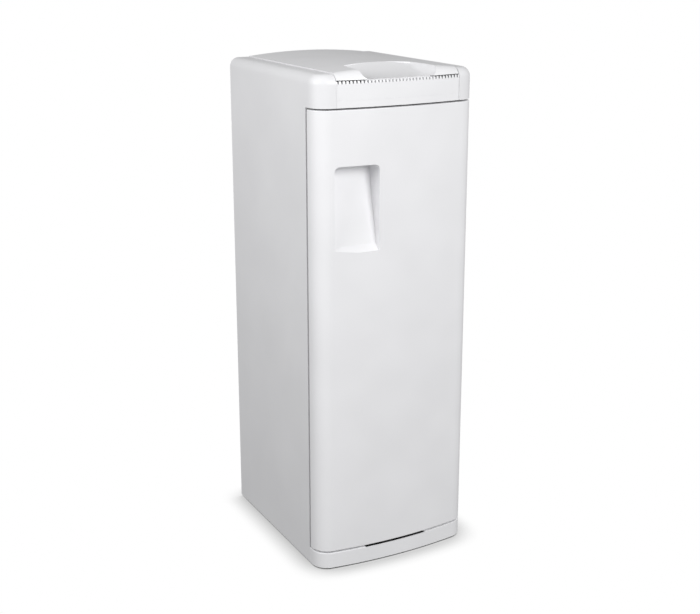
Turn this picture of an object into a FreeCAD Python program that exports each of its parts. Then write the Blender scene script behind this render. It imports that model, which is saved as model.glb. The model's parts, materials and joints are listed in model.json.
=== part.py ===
"""Slim free-standing kitchen trash compactor.

A tall white cabinet with a full-height door hinged on the right, a bowed front, a lifting top lid with a
dished finger scoop, and a row of comb notches under the lid's front edge for the filtered air.  Inside, two
power screws driven by one belt pull a press plate down into a waste bin that stands on the chamber floor.

Frame: millimetres, +Z up, front towards -Y, origin on the floor under the middle of the cabinet.
"""
import FreeCAD, Part
import math
import os

V = FreeCAD.Vector
UP = V(0, 0, 1)
ALONG_X = V(1, 0, 0)
ALONG_Y = V(0, 1, 0)
PARTS = "parts"

# ---------------------------------------------------------------- driving sizes of the casing
WIDTH = 302.0            # over the side shells
DEPTH = 359.0            # front of the bow to the rear edge of the side shells
HEIGHT = 868.0           # floor to the flat top of the cheeks
LID_STEP = 1.6           # the lid's long edges stand this far above the cheeks
LID_CAMBER = 6.4         # how much the middle of the lid stands above its edges
BOW_R = 845.0            # radius of the bowed front, seen from above
CORNER_R = 30.0          # vertical front corners
TOP_EDGE_R = 16.0        # rounding from the sides and the front into the cheeks' top
WALL = 3.0               # moulded casing wall
SHEET = 1.5              # folded steel
PLATE = 3.0              # steel cross members
FLOOR_GAP = 3.0          # the feet hold the casing this far off the floor

# ---------------------------------------------------------------- door and plinth
GAP = 3.0                # door to casing, all round
DOOR_DEPTH = 45.0        # front of the bow to the back of the door
PLINTH_TOP = 31.5
DOOR_TOP = 811.5
DOOR_REAR_EDGE_R = 3.0
DOOR_PANEL_T = 3.0
HINGE_FROM_SIDE = 10.0    # hinge pin to the side face
HINGE_FROM_BACK = 11.5   # hinge pin to the back of the door
PIN_R = 3.5
PIN_CLEAR = 0.05
BUSH_WALL = 2.4
BUSH_LENGTH = 21.0
PIN_HOLE_CLEAR = 1.5
BRACKET_T = 3.0
BRACKET_W = 28.0
POCKET_W = 80.0
POCKET_H = 145.0
POCKET_Z = 575.0
POCKET_X = -79.0         # middle of the grip pocket
POCKET_TOP_DEPTH = 34.0
POCKET_LOW_DEPTH = 9.0
POCKET_LIP = 11.0        # height of the sloping lip at the pocket's foot
POCKET_HEAD = 10.0       # upright part of the back wall under the pocket's roof
POCKET_R = 9.0
SEAL_T = 2.6
SEAL_W = 9.0
SEAL_FROM_EDGE = 21.0
INLET_SLOT_W = 124.0     # air inlet in the top of the plinth
INLET_SLOT_Y = 24.0
INLET_LIP = 2.5          # what is left of the plinth's rim in front of the inlet
INLET_LIP_DROP = 1.8     # and how far that rim is lowered

# ---------------------------------------------------------------- top: lid, fascia and comb
LID_W = 230.0
LID_SIDE_GAP = 0.9
LID_T = 3.0
LID_FRONT_Z = 858.4      # lower edge of the lid's two front tabs
LID_FRONT_R = 20.0       # rounding of the lid's front into its top
LID_SKIRT_Z = 854.0
LID_PANEL_Z = 851.0
LID_PANEL_T = 2.0
LID_HINGE_FROM_REAR = 5.5
LID_HINGE_Z = 862.5
LID_PIN_R = 3.0
COMB_TOP = 857.0
COMB_NOTCHES = 36
COMB_NOTCH_W = 3.8
COMB_NOTCH_FOOT = 1.8
COMB_NOTCH_H = 4.6
FASCIA_SET_BACK = 0.6
FASCIA_LINE_Z = 826.0     # hairline groove along the foot of the fascia's raised face
FASCIA_LINE = 0.5         # its height and its depth
FASCIA_GAP = 0.4
SCOOP_FRONT_W = 144.0
SCOOP_REAR_W = 134.0
SCOOP_LENGTH = 78.0      # lid front to the scoop's rear corners
SCOOP_BULGE = 12.0       # how far its rear edge bows back
SCOOP_FRONT_Z = 857.6
SCOOP_DRAFT = 25.0       # lean of its sides, in degrees
SCOOP_BOWL_R = 18.0      # rounding of its sides into its floor
SCOOP_WALL = 2.6
CHEEK_WALL_FOOT = 832.0

# ---------------------------------------------------------------- drive and press
SCREW_X = 133.0
SCREW_R = 7.0
SCREW_CLEAR = 0.1
BEARING_R = 10.8
BEARING_H = 10.0
BEARING_CLEAR = 0.05
PULLEY_R = 12.0
MOTOR_PULLEY_R = 12.0
TENSION_PULLEY_R = 10.0
PULLEY_Z = 26.0
PULLEY_H = 16.0
PULLEY_FLANGE_T = 1.5
PULLEY_FLANGE = 1.0
BELT_T = 1.8
BELT_W = 11.0
BELT_CLEAR = 0.15
MOTOR_Y = 60.0
TENSION_Y = -45.0
MOTOR_R = 32.0
MOTOR_H = 53.0
GEARBOX_W = 78.0
GEARBOX_L = 92.0
GEARBOX_H = 24.0
SHAFT_R = 4.0
LOWER_BEAM_Z = 48.0
LOWER_BEAM_FRONT = -75.0
LOWER_BEAM_REAR = 108.0
UPPER_BEAM_Z = 810.0
UPPER_BEAM_HALF = 34.0
UPPER_BEAM_LIP = 15.0
RAIL_T = 2.0
RAIL_HALF = 20.0
RAIL_INNER_X = 121.0
RAIL_OUTER_X = 146.0
SHOE_CLEAR = 0.4
SHOE_H = 10.0
NUT_H = 26.0
BEAM_Z = 760.0           # underside of the press beam when parked
BEAM_H = 30.0
BEAM_HALF = 10.0
PRESS_DROP = 212.0       # beam underside to press plate underside
PRESS_W = 196.0
PRESS_T = 4.0
PRESS_RIM = 12.0
COLUMN_W = 150.0
RAM_TRAVEL = 260.0

# ---------------------------------------------------------------- chamber and bin
CHAMBER_HALF = 118.0
LINER_T = 1.0
LINER_REAR_Y = 124.0
LINER_SLOT_HALF = 12.0
CHAMBER_FLOOR_Z = 132.0
CHAMBER_FLOOR_T = 2.0
OPENING_HALF = 117.0
OPENING_TOP = 780.0
FRAME_FLANGE = 11.0
FRAME_TOP = 832.0
RUNNER_W = 16.0
RUNNER_H = 2.0
RUNNER_X = 70.0
BIN_W = 222.0
BIN_FOOT_W = 206.0
BIN_H = 350.0
BIN_WALL = 2.5
BIN_RIM = 2.5
BIN_RIM_H = 14.0
BIN_GRIP_W = 80.0
BIN_GRIP_H = 20.0

# ---------------------------------------------------------------- service deck, fan and filter
DECK_T = 2.5
DECK_HALF = 110.5
DECK_FRONT = -128.0
DECK_REAR = 170.0
DECK_WALL_TOP = 848.0
LID_SEAL_CLEAR = 0.2
FAN_Y = -80.0
FAN_W = 80.0
FAN_H = 25.0
FAN_BORE_R = 38.0
FAN_TIP_CLEAR = 1.5
FAN_HUB_R = 15.0
FAN_BLADES = 7
FILTER_W = 130.0
FILTER_L = 90.0
FILTER_H = 26.0
BUTTON_R = 10.0
BUTTON_H = 12.0
BUTTON_TRAVEL = 3.0
BUTTON_Y = 70.0
BUTTON_X = 45.0
BUTTON_CLEAR = 0.3
BEZEL_WALL = 3.0
KEY_X = -55.0
KEY_Y = 70.0
KEY_R = 9.0
LENS_Y = 105.0
LENS_R = 3.0
BOARD_Y0 = 50.0
BOARD_L = 68.0
BOARD_W = 150.0

# ---------------------------------------------------------------- rear panel, base and fasteners
REAR_INSET = 1.5
REAR_PANEL_TOP = 831.5
REAR_PANEL_TAB = 851.0
REAR_PANEL_FOOT = 12.0
BOSS_W = 10.0
SCREW_HEAD_R = 3.5
SCREW_HEAD_H = 1.4
SCREW_SHANK_R = 1.8
REAR_SCREW_ROWS = 5
TIE_HOLE_R = 3.0
TIE_SPACING = 180.0
TIE_Z = 765.0
INLET_X = 100.0
INLET_Z = 62.0
INLET_W = 28.0
INLET_H = 21.0
INLET_DEEP = 32.0
BASE_Z = 10.0
FOOT_R = 15.0
FOOT_H = 7.0
FOOT_STEM_R = 4.0
FOOT_X = 118.0
FOOT_Y = 118.0

# ---------------------------------------------------------------- places worked out from the sizes above
HALF = WIDTH / 2
Y_FRONT = -DEPTH / 2
Y_REAR = DEPTH / 2
BOW_Y = Y_FRONT + BOW_R                                    # centre of the bow
CORNER_X = HALF - CORNER_R
CORNER_Y = BOW_Y - math.sqrt((BOW_R - CORNER_R) ** 2 - CORNER_X ** 2)
DOOR_BACK = Y_FRONT + DOOR_DEPTH
CASE_FRONT = DOOR_BACK + GAP                               # front edge of the side shells and the frame
DOOR_FOOT = PLINTH_TOP + GAP
HEADER_Z = DOOR_TOP + GAP                                  # underside of the casing above the door
HINGE_X = HALF - HINGE_FROM_SIDE
HINGE_Y = DOOR_BACK - HINGE_FROM_BACK
INNER_HALF = HALF - WALL
LID_HALF = LID_W / 2
LID_EDGE_Z = HEIGHT + LID_STEP
LID_TOP_Z = LID_EDGE_Z + LID_CAMBER                        # the highest point of the machine
CHEEK_X = LID_HALF + LID_SIDE_GAP                          # inner face of the cheeks
LID_HINGE_Y = Y_REAR - LID_HINGE_FROM_REAR
REAR_PANEL_Y = Y_REAR - REAR_INSET - SHEET                 # front face of the rear panel
LOWER_DECK_Z = LOWER_BEAM_Z + PLATE                        # top of the lower beam
DECK_Z = UPPER_BEAM_Z + PLATE                              # underside of the service deck
DECK_TOP = DECK_Z + DECK_T
BIN_Z = CHAMBER_FLOOR_Z + CHAMBER_FLOOR_T + RUNNER_H
BIN_TOP = BIN_Z + BIN_H
NUT_Z = BEAM_Z + (BEAM_H - NUT_H) / 2
PRESS_Z = BEAM_Z - PRESS_DROP
SHOE_HALF = RAIL_HALF - RAIL_T - SHOE_CLEAR
NUT_X0 = RAIL_INNER_X + SHOE_CLEAR
NUT_X1 = RAIL_OUTER_X - RAIL_T - SHOE_CLEAR
FAN_Z = DECK_Z - FAN_H


# ---------------------------------------------------------------- small shape helpers
def block(x0, x1, y0, y1, z0, z1):
    """Box between two corners."""
    return Part.makeBox(x1 - x0, y1 - y0, z1 - z0, V(x0, y0, z0))


def rod(x, y, z0, z1, r):
    """Upright cylinder."""
    return Part.makeCylinder(r, z1 - z0, V(x, y, z0))


def tube(x, y, z0, z1, outer, inner):
    """Upright ring."""
    return rod(x, y, z0, z1, outer).cut(rod(x, y, z0, z1, inner))


def rod_y(x, z, y0, y1, r):
    """Cylinder lying along Y."""
    return Part.makeCylinder(r, y1 - y0, V(x, y0, z), ALONG_Y)


def prism(points, along):
    """Solid from a closed polygon pushed along a vector."""
    return Part.Face(Part.makePolygon(points + points[:1])).extrude(along)


def mirrored(shape):
    """The same shape on the other side of the cabinet."""
    return shape.mirror(V(0, 0, 0), ALONG_X)


def fused(shapes):
    """Union of a list of shapes, with its seams tidied away."""
    first, rest = shapes[0], shapes[1:]
    return first.fuse(rest).removeSplitter() if rest else first


def separate(shapes):
    """Several loose solids kept as one group."""
    return Part.makeCompound(shapes)


def edges_where(shape, test):
    """Edges whose two ends and middle all satisfy the test."""
    chosen = []
    for edge in shape.Edges:
        first, last = edge.ParameterRange
        spots = [edge.valueAt(first), edge.valueAt((first + last) / 2), edge.valueAt(last)]
        if all(test(p) for p in spots):
            chosen.append(edge)
    return chosen


def bow_y(x, inset=0.0):
    """Front surface of the bow at this x, moved in by inset."""
    return BOW_Y - math.sqrt((BOW_R - inset) ** 2 - x ** 2)


# ---------------------------------------------------------------- the casing's outer form
def plan(inset, y_rear, z):
    """Outline seen from above: straight sides, tangent corners and the bowed front."""
    half = HALF - inset
    reach = BOW_R - CORNER_R
    bow = BOW_R - inset
    corner = CORNER_R - inset
    out_x, out_y = CORNER_X / reach, (CORNER_Y - BOW_Y) / reach        # towards the tangent point
    touch = V(out_x * bow, BOW_Y + out_y * bow, z)
    turn = math.atan2(out_y, out_x) / 2
    middle = V(CORNER_X + corner * math.cos(turn), CORNER_Y + corner * math.sin(turn), z)
    side = V(half, CORNER_Y, z)
    back = V(half, y_rear, z)

    def flip(p):
        return V(-p.x, p.y, p.z)

    edges = [
        Part.LineSegment(flip(back), flip(side)).toShape(),
        Part.Arc(flip(side), flip(middle), flip(touch)).toShape(),
        Part.Arc(flip(touch), V(0, BOW_Y - bow, z), touch).toShape(),
        Part.Arc(touch, middle, side).toShape(),
        Part.LineSegment(side, back).toShape(),
        Part.LineSegment(back, flip(back)).toShape(),
    ]
    return Part.Face(Part.Wire(edges))


def column(inset, z0, z1, y_rear=Y_REAR):
    """Upright solid with the cabinet's plan."""
    return plan(inset, y_rear, z0).extrude(UP * (z1 - z0))


def envelope(inset):
    """The whole cabinet as one solid, rounded into its top."""
    top = HEIGHT - inset
    solid = column(inset, FLOOR_GAP, top)
    crown = edges_where(solid, lambda p: abs(p.z - top) < 1e-6)
    crown = [e for e in crown if e.CenterOfMass.y < Y_REAR - 1.0]
    return solid.makeFillet(TOP_EDGE_R - inset, crown)


# ---------------------------------------------------------------- casing
def side_shell():
    """Left shell: side wall, rounded cheek, front return over the door, and the inner cheek wall."""
    outer = envelope(0.0)
    wall = outer.cut(envelope(WALL))
    ledge = outer.common(block(-HALF, -CHEEK_X, Y_FRONT, CASE_FRONT, HEADER_Z, HEADER_Z + WALL))
    cheek = outer.common(block(-CHEEK_X - WALL, -CHEEK_X, Y_FRONT, Y_REAR, CHEEK_WALL_FOOT, HEIGHT))
    boss = block(-INNER_HALF, -INNER_HALF + BOSS_W, REAR_PANEL_Y - WALL, REAR_PANEL_Y, BASE_Z, FRAME_TOP)
    wall = wall.common(block(-HALF - 1, -CHEEK_X, Y_FRONT - 1, Y_REAR + 1, 0, HEIGHT + 1))
    wall = wall.cut(block(-HALF - 1, 0, Y_FRONT - 1, CASE_FRONT, 0, HEADER_Z))
    shell = fused([wall, ledge, cheek, boss])
    for z in rear_screw_heights():
        shell = shell.cut(rod_y(-rear_screw_x(), z, REAR_PANEL_Y - 2 * WALL, REAR_PANEL_Y, SCREW_SHANK_R))
    pin = Part.makeCylinder(LID_PIN_R, 2 * WALL, V(-CHEEK_X - 1.5 * WALL, LID_HINGE_Y, LID_HINGE_Z), ALONG_X)
    return shell.cut(pin)


def side_shell_left():
    return side_shell()


def side_shell_right():
    """Mirror of the left shell, with the hole for the upper door hinge pin."""
    hole = rod(HINGE_X, HINGE_Y, HEADER_Z - 1, HEADER_Z + WALL + 1, PIN_R + PIN_HOLE_CLEAR)
    return mirrored(side_shell()).cut(hole)


def front_fascia():
    """Bowed strip over the door with the comb of air notches along its top edge."""
    half = CHEEK_X - FASCIA_GAP
    skin = envelope(FASCIA_SET_BACK).cut(envelope(FASCIA_SET_BACK + WALL))
    skin = skin.common(block(-half, half, Y_FRONT - 1, CASE_FRONT, HEADER_Z, COMB_TOP))
    ledge = column(FASCIA_SET_BACK, HEADER_Z, HEADER_Z + WALL, CASE_FRONT)
    ledge = ledge.common(block(-half, half, Y_FRONT, CASE_FRONT, HEADER_Z, HEADER_Z + WALL))
    strip = fused([skin, ledge])
    groove = column(0.0, FASCIA_LINE_Z, FASCIA_LINE_Z + FASCIA_LINE, CASE_FRONT)
    strip = strip.cut(groove.cut(column(FASCIA_SET_BACK + FASCIA_LINE, 0.0, HEIGHT, CASE_FRONT + 1)))
    pitch = LID_W / COMB_NOTCHES
    notches = []
    for i in range(COMB_NOTCHES):
        x = -LID_HALF + (i + 0.5) * pitch
        top, foot, y = COMB_NOTCH_W / 2, COMB_NOTCH_FOOT / 2, Y_FRONT - 1
        low, high = COMB_TOP - COMB_NOTCH_H, COMB_TOP + 1
        corners = [V(x - top, y, high), V(x + top, y, high), V(x + foot, y, low), V(x - foot, y, low)]
        notches.append(prism(corners, ALONG_Y * (DOOR_DEPTH / 2)))
    return strip.cut(notches)


def plinth():
    """Bowed skirting under the door, with an air inlet slot in its top."""
    rear = CASE_FRONT
    body = column(0.0, FLOOR_GAP, PLINTH_TOP, rear)
    body = body.cut(column(WALL, 0.0, PLINTH_TOP - WALL, rear + 1))
    rim = edges_where(body, lambda p: abs(p.z - PLINTH_TOP) < 1e-6 and p.y < rear - 1e-3)
    body = body.makeFillet(WALL / 2, rim)
    half = INLET_SLOT_W / 2
    across = block(-half, half, Y_FRONT - 1, CASE_FRONT, PLINTH_TOP - 2 * WALL, PLINTH_TOP + 1)
    slot = column(INLET_LIP, 0.0, HEIGHT, rear).cut(column(INLET_LIP + INLET_SLOT_Y, 0.0, HEIGHT, rear + 1))
    slot = slot.common(across)
    mouth_rear = bow_y(half) + INLET_LIP + 1
    mouth = block(-half, half, Y_FRONT - 1, mouth_rear, PLINTH_TOP - INLET_LIP_DROP, PLINTH_TOP + 1)
    hole = rod(HINGE_X, HINGE_Y, PLINTH_TOP - 2 * WALL, PLINTH_TOP + 1, PIN_R + PIN_HOLE_CLEAR)
    return body.cut([slot, mouth, hole])


def rear_screw_x():
    return INNER_HALF - BOSS_W / 2


def rear_screw_heights():
    low, high = 4 * FOOT_R, FRAME_TOP - 2 * BOSS_W
    return [low + i * (high - low) / (REAR_SCREW_ROWS - 1) for i in range(REAR_SCREW_ROWS)]


def rear_panel():
    """Steel back with pressed ribs, cooling slots, the mains inlet's cut-out and two tie-down holes."""
    half = INNER_HALF - 0.5
    back = REAR_PANEL_Y + SHEET
    panel = block(-half, half, REAR_PANEL_Y, back, REAR_PANEL_FOOT, REAR_PANEL_TOP)
    tab = block(-LID_HALF, LID_HALF, REAR_PANEL_Y, back, REAR_PANEL_TOP, REAR_PANEL_TAB)
    rib_half = half - 3.5 * BOSS_W
    ribs = []
    for i in range(4):
        z = 250.0 + i * 120.0
        ribs.append(block(-rib_half, rib_half, back, back + REAR_INSET - 0.2, z, z + 40.0))
    panel = fused([panel, tab] + ribs)
    cuts = []
    for row in range(2):
        for i in range(9):
            x = (i - 4) * 18.0
            z = 130.0 + row * 36.0
            cuts.append(block(x - 2.5, x + 2.5, REAR_PANEL_Y - 1, back + 1, z, z + 26.0))
    cuts.append(block(INLET_X - INLET_W / 2, INLET_X + INLET_W / 2, REAR_PANEL_Y - 1, back + 1,
                      INLET_Z - INLET_H / 2, INLET_Z + INLET_H / 2))
    for side in (-1, 1):
        cuts.append(rod_y(side * TIE_SPACING / 2, TIE_Z, REAR_PANEL_Y - 1, back + 1, TIE_HOLE_R))
        for z in rear_screw_heights():
            cuts.append(rod_y(side * rear_screw_x(), z, REAR_PANEL_Y - 1, back + 1, SCREW_SHANK_R + 0.3))
    return panel.cut(cuts)


def rear_panel_screws():
    """Pan-head screws that hold the rear panel to the side shells."""
    back = REAR_PANEL_Y + SHEET
    screws = []
    for side in (-1, 1):
        for z in rear_screw_heights():
            x = side * rear_screw_x()
            head = rod_y(x, z, back, back + SCREW_HEAD_H, SCREW_HEAD_R)
            rim = edges_where(head, lambda p: p.y > back + SCREW_HEAD_H - 1e-6)
            head = head.makeFillet(SCREW_HEAD_H / 2, rim)
            slot = block(x - 2.2, x + 2.2, back + SCREW_HEAD_H / 2, back + 2 * SCREW_HEAD_H, z - 0.4, z + 0.4)
            y0, y1 = back + SCREW_HEAD_H / 2, back + 2 * SCREW_HEAD_H
            cross = block(x - 0.4, x + 0.4, y0, y1, z - 2.2, z + 2.2)
            shank = rod_y(x, z, REAR_PANEL_Y - 2 * WALL, back, SCREW_SHANK_R)
            screws.append(head.fuse(shank).cut([slot, cross]))
    return separate(screws)


def base_pan():
    """Folded steel floor of the cabinet, with holes for the feet."""
    half = INNER_HALF
    front, rear, lip = CASE_FRONT + SHEET, REAR_PANEL_Y, 12.0
    pan = block(-half, half, front, rear, BASE_Z, BASE_Z + lip)
    inside = block(-half + SHEET, half - SHEET, front + SHEET, rear - SHEET, BASE_Z + SHEET, BASE_Z + 2 * lip)
    holes = [rod(x, y, 0, 2 * BASE_Z, FOOT_STEM_R) for x, y in foot_places()]
    for side in (-1, 1):
        x = side * half
        holes.append(block(x - BOSS_W, x + BOSS_W, rear - WALL, rear + 1, BASE_Z - 1, BASE_Z + 2 * lip))
    return pan.cut([inside] + holes)


def foot_places():
    return [(sx * FOOT_X, sy * FOOT_Y) for sx in (-1, 1) for sy in (-1, 1)]


def levelling_feet():
    """Four screw feet: round pad, adjusting nut and stem."""
    feet = []
    for x, y in foot_places():
        pad = rod(x, y, 0, FOOT_H, FOOT_R)
        pad = pad.makeFillet(1.0, edges_where(pad, lambda p: p.z < 1e-6))
        nut = nut_prism(x, y, BASE_Z + SHEET, BASE_Z + SHEET + 5.0, 7.0)
        stem = rod(x, y, FOOT_H, BASE_Z + SHEET + 9.0, FOOT_STEM_R)
        feet.append(fused([pad, stem, nut]))
    return separate(feet)


def nut_prism(x, y, z0, z1, r):
    """Hexagonal nut blank."""
    corners = [V(x + r * math.cos(i * math.pi / 3), y + r * math.sin(i * math.pi / 3), z0) for i in range(6)]
    return prism(corners, UP * (z1 - z0))


def front_frame():
    """Pressed steel face the door closes against, folded back round the loading opening."""
    half = INNER_HALF
    back = CASE_FRONT + SHEET
    foot = CHAMBER_FLOOR_Z + CHAMBER_FLOOR_T
    face = block(-half, half, CASE_FRONT, back, BASE_Z, FRAME_TOP)
    hole = block(-OPENING_HALF, OPENING_HALF, CASE_FRONT - 1, back + FRAME_FLANGE + 1, foot, OPENING_TOP)
    collar = block(-OPENING_HALF - SHEET, OPENING_HALF + SHEET, back, back + FRAME_FLANGE,
                   foot - SHEET, OPENING_TOP + SHEET)
    return fused([face, collar]).cut([hole] + bracket_screw_holes())


# ---------------------------------------------------------------- door
def door_shell():
    """Bowed outer shell of the door, with the grip pocket moulded in."""
    body = column(0.0, DOOR_FOOT, DOOR_TOP, DOOR_BACK)
    rear_edges = edges_where(body, lambda p: abs(abs(p.x) - HALF) < 1e-6 and abs(p.y - DOOR_BACK) < 1e-6)
    body = body.makeFillet(DOOR_REAR_EDGE_R, rear_edges)
    ends = edges_where(body, lambda p: min(abs(p.z - DOOR_FOOT), abs(p.z - DOOR_TOP)) < 1e-6
                       and p.y < DOOR_BACK - DOOR_REAR_EDGE_R + 1e-3)
    body = body.makeFillet(WALL / 2, ends)
    core = column(WALL, DOOR_FOOT + WALL, DOOR_TOP - WALL, DOOR_BACK + 1)
    shell = body.cut(core)
    shell = shell.fuse(pocket_form(WALL).common(body)).cut(pocket_form(0.0))
    for z0, z1 in ((DOOR_FOOT - 1, DOOR_FOOT + BUSH_LENGTH), (DOOR_TOP - BUSH_LENGTH, DOOR_TOP + 1)):
        shell = shell.cut(rod(HINGE_X, HINGE_Y, z0, z1, PIN_R + BUSH_WALL))
    return shell.removeSplitter()


def pocket_form(grow):
    """Hollow of the grip pocket: deep under its roof, shallow at its foot, with a sloping lip."""
    x0, x1 = POCKET_X - POCKET_W / 2 - grow, POCKET_X + POCKET_W / 2 + grow
    z0, z1 = POCKET_Z - grow, POCKET_Z + POCKET_H + grow
    face = bow_y(POCKET_X)
    outline = [
        V(x0, Y_FRONT - 10, z0),
        V(x0, face + grow, z0),
        V(x0, face + POCKET_LOW_DEPTH + grow, z0 + POCKET_LIP),
        V(x0, face + POCKET_TOP_DEPTH + grow, z1 - POCKET_HEAD),
        V(x0, face + POCKET_TOP_DEPTH + grow, z1),
        V(x0, Y_FRONT - 10, z1),
    ]
    form = prism(outline, ALONG_X * (x1 - x0))
    roof_ends = [e for e in edges_where(form, lambda p: abs(p.z - z1) < 1e-6)
                 if abs(abs(e.CenterOfMass.x - POCKET_X) - (x1 - x0) / 2) < 1e-6]
    return form.makeFillet(POCKET_R + grow, roof_ends)


def door_inner_panel():
    """Flat inner skin of the door."""
    half = INNER_HALF - 0.3
    z0, z1 = DOOR_FOOT + WALL + 0.3, DOOR_TOP - WALL - 0.3
    panel = block(-half, half, DOOR_BACK - DOOR_PANEL_T, DOOR_BACK, z0, z1)
    recess_half, recess_z = half - 3 * BOSS_W, 60.0
    recess = block(-recess_half, recess_half, DOOR_BACK - 1.0, DOOR_BACK + 1,
                   DOOR_FOOT + recess_z, DOOR_TOP - recess_z)
    return panel.cut(recess)


def door_seal():
    """Soft gasket round the inner panel."""
    half = HALF - SEAL_FROM_EDGE
    z0, z1 = DOOR_FOOT + SEAL_FROM_EDGE / 2, DOOR_TOP - SEAL_FROM_EDGE / 2
    ring = block(-half, half, DOOR_BACK, DOOR_BACK + SEAL_T, z0, z1)
    hole = block(-half + SEAL_W, half - SEAL_W, DOOR_BACK - 1, DOOR_BACK + SEAL_T + 1,
                 z0 + SEAL_W, z1 - SEAL_W)
    return ring.cut(hole)


def door_bushes():
    """Plastic bushes in the door's top and foot that turn on the hinge pins."""
    outer, inner = PIN_R + BUSH_WALL, PIN_R + PIN_CLEAR
    return separate([
        tube(HINGE_X, HINGE_Y, DOOR_FOOT, DOOR_FOOT + BUSH_LENGTH, outer, inner),
        tube(HINGE_X, HINGE_Y, DOOR_TOP - BUSH_LENGTH, DOOR_TOP, outer, inner),
    ])


def strike_place():
    """Middle of the magnetic catch, on the opening side of the door."""
    return -HALF + SEAL_FROM_EDGE / 2 + 2.0, (DOOR_FOOT + DOOR_TOP) / 2


def door_strike_plate():
    """Steel plate on the door that the magnet holds."""
    x, z = strike_place()
    return block(x - 5, x + 5, DOOR_BACK, DOOR_BACK + 1.0, z - 20, z + 20)


def door_magnet():
    """Magnetic catch on the frame, opposite the strike plate."""
    x, z = strike_place()
    return block(x - 4.5, x + 4.5, DOOR_BACK + 1.3, CASE_FRONT, z - 18, z + 18)


def hinge_bracket(z_plate, leg_up):
    """Steel angle: a flat that carries the pin and a leg screwed to the frame."""
    x1 = INNER_HALF - 0.5
    x0 = x1 - BRACKET_W
    y_leg = CASE_FRONT - BRACKET_T
    flat = block(x0, x1, HINGE_Y - 2 * PIN_R, CASE_FRONT, z_plate, z_plate + BRACKET_T)
    corner = flat.common(column(WALL + 0.3, z_plate, z_plate + BRACKET_T, CASE_FRONT))
    leg = block(x0, x1, y_leg, CASE_FRONT, z_plate + min(leg_up, 0), z_plate + BRACKET_T + max(leg_up, 0))
    plate = fused([corner, leg])
    return plate.cut(rod(HINGE_X, HINGE_Y, z_plate - 1, z_plate + BRACKET_T + 1, PIN_R))


def upper_bracket_z():
    return HEADER_Z + WALL


def lower_bracket_z():
    return PLINTH_TOP - WALL - BRACKET_T - 1.0


def upper_hinge_bracket():
    bracket = hinge_bracket(upper_bracket_z(), FRAME_TOP - upper_bracket_z() - 2 * BRACKET_T)
    return bracket.cut(bracket_screw_holes())


def lower_hinge_bracket():
    return hinge_bracket(lower_bracket_z(), BASE_Z + 3.0 - lower_bracket_z()).cut(bracket_screw_holes())


def bracket_screw_spots():
    x = INNER_HALF - 0.5 - BRACKET_W
    spots = []
    for z in (upper_bracket_z() + 2 * BRACKET_T + 1.0, lower_bracket_z() - 5.0):
        spots += [(x + 5.0, z), (x + BRACKET_W - 5.0, z)]
    return spots


def bracket_screw_holes():
    return [rod_y(x, z, CASE_FRONT - 2 * BRACKET_T, CASE_FRONT + 2 * SHEET, SCREW_SHANK_R)
            for x, z in bracket_screw_spots()]


def hinge_bracket_screws():
    """Screws that hold both hinge brackets to the front frame."""
    screws = []
    for x, z in bracket_screw_spots():
        head = rod_y(x, z, CASE_FRONT - BRACKET_T - SCREW_HEAD_H, CASE_FRONT - BRACKET_T, SCREW_HEAD_R)
        shank = rod_y(x, z, CASE_FRONT - BRACKET_T, CASE_FRONT + SHEET, SCREW_SHANK_R)
        screws.append(head.fuse(shank))
    return separate(screws)


def door_hinge_pins():
    """Two steel pins, pressed into the brackets, that the door turns on."""
    reach = BUSH_LENGTH - 2.0
    return separate([
        rod(HINGE_X, HINGE_Y, DOOR_TOP - reach, upper_bracket_z() + BRACKET_T, PIN_R),
        rod(HINGE_X, HINGE_Y, lower_bracket_z(), DOOR_FOOT + reach, PIN_R),
    ])


# ---------------------------------------------------------------- lid
def lid_form(inset):
    """Solid form of the lid: bowed front, cambered top, rounded front and rear edges."""
    half = LID_HALF - inset
    rear = Y_REAR - inset
    touch_y = bow_y(half, inset)
    z0 = LID_SKIRT_Z - 10.0
    crown_r = (LID_HALF**2 + LID_CAMBER**2) / (2 * LID_CAMBER)
    crown_z = LID_TOP_Z - crown_r
    edge_z = crown_z + math.sqrt((crown_r - inset) ** 2 - half**2)
    top_z = LID_TOP_Z - inset
    outline = [
        Part.LineSegment(V(-half, rear, z0), V(-half, touch_y, z0)).toShape(),
        Part.Arc(V(-half, touch_y, z0), V(0, Y_FRONT + inset, z0), V(half, touch_y, z0)).toShape(),
        Part.LineSegment(V(half, touch_y, z0), V(half, rear, z0)).toShape(),
        Part.LineSegment(V(half, rear, z0), V(-half, rear, z0)).toShape(),
    ]
    section = [
        Part.LineSegment(V(-half, Y_FRONT, z0), V(-half, Y_FRONT, edge_z)).toShape(),
        Part.Arc(V(-half, Y_FRONT, edge_z), V(0, Y_FRONT, top_z), V(half, Y_FRONT, edge_z)).toShape(),
        Part.LineSegment(V(half, Y_FRONT, edge_z), V(half, Y_FRONT, z0)).toShape(),
        Part.LineSegment(V(half, Y_FRONT, z0), V(-half, Y_FRONT, z0)).toShape(),
    ]
    body = Part.Face(Part.Wire(outline)).extrude(UP * (LID_TOP_Z + LID_CAMBER - z0))
    body = body.common(Part.Face(Part.Wire(section)).extrude(ALONG_Y * DEPTH))
    body = body.makeFillet(LID_FRONT_R - inset, crown_edges(body, lambda y: y < Y_FRONT + CORNER_R))
    return body.makeFillet(max(2 * LID_T - inset, 1.0), crown_edges(body, lambda y: y > rear - 1.0))


def crown_edges(body, at_y):
    """Edges that run across the lid near its top, at the end picked by the test."""
    return [
        e for e in body.Edges
        if e.CenterOfMass.z > LID_EDGE_Z - 3 * LID_T and at_y(e.CenterOfMass.y) and e.BoundBox.XLength > LID_HALF
    ]


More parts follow.
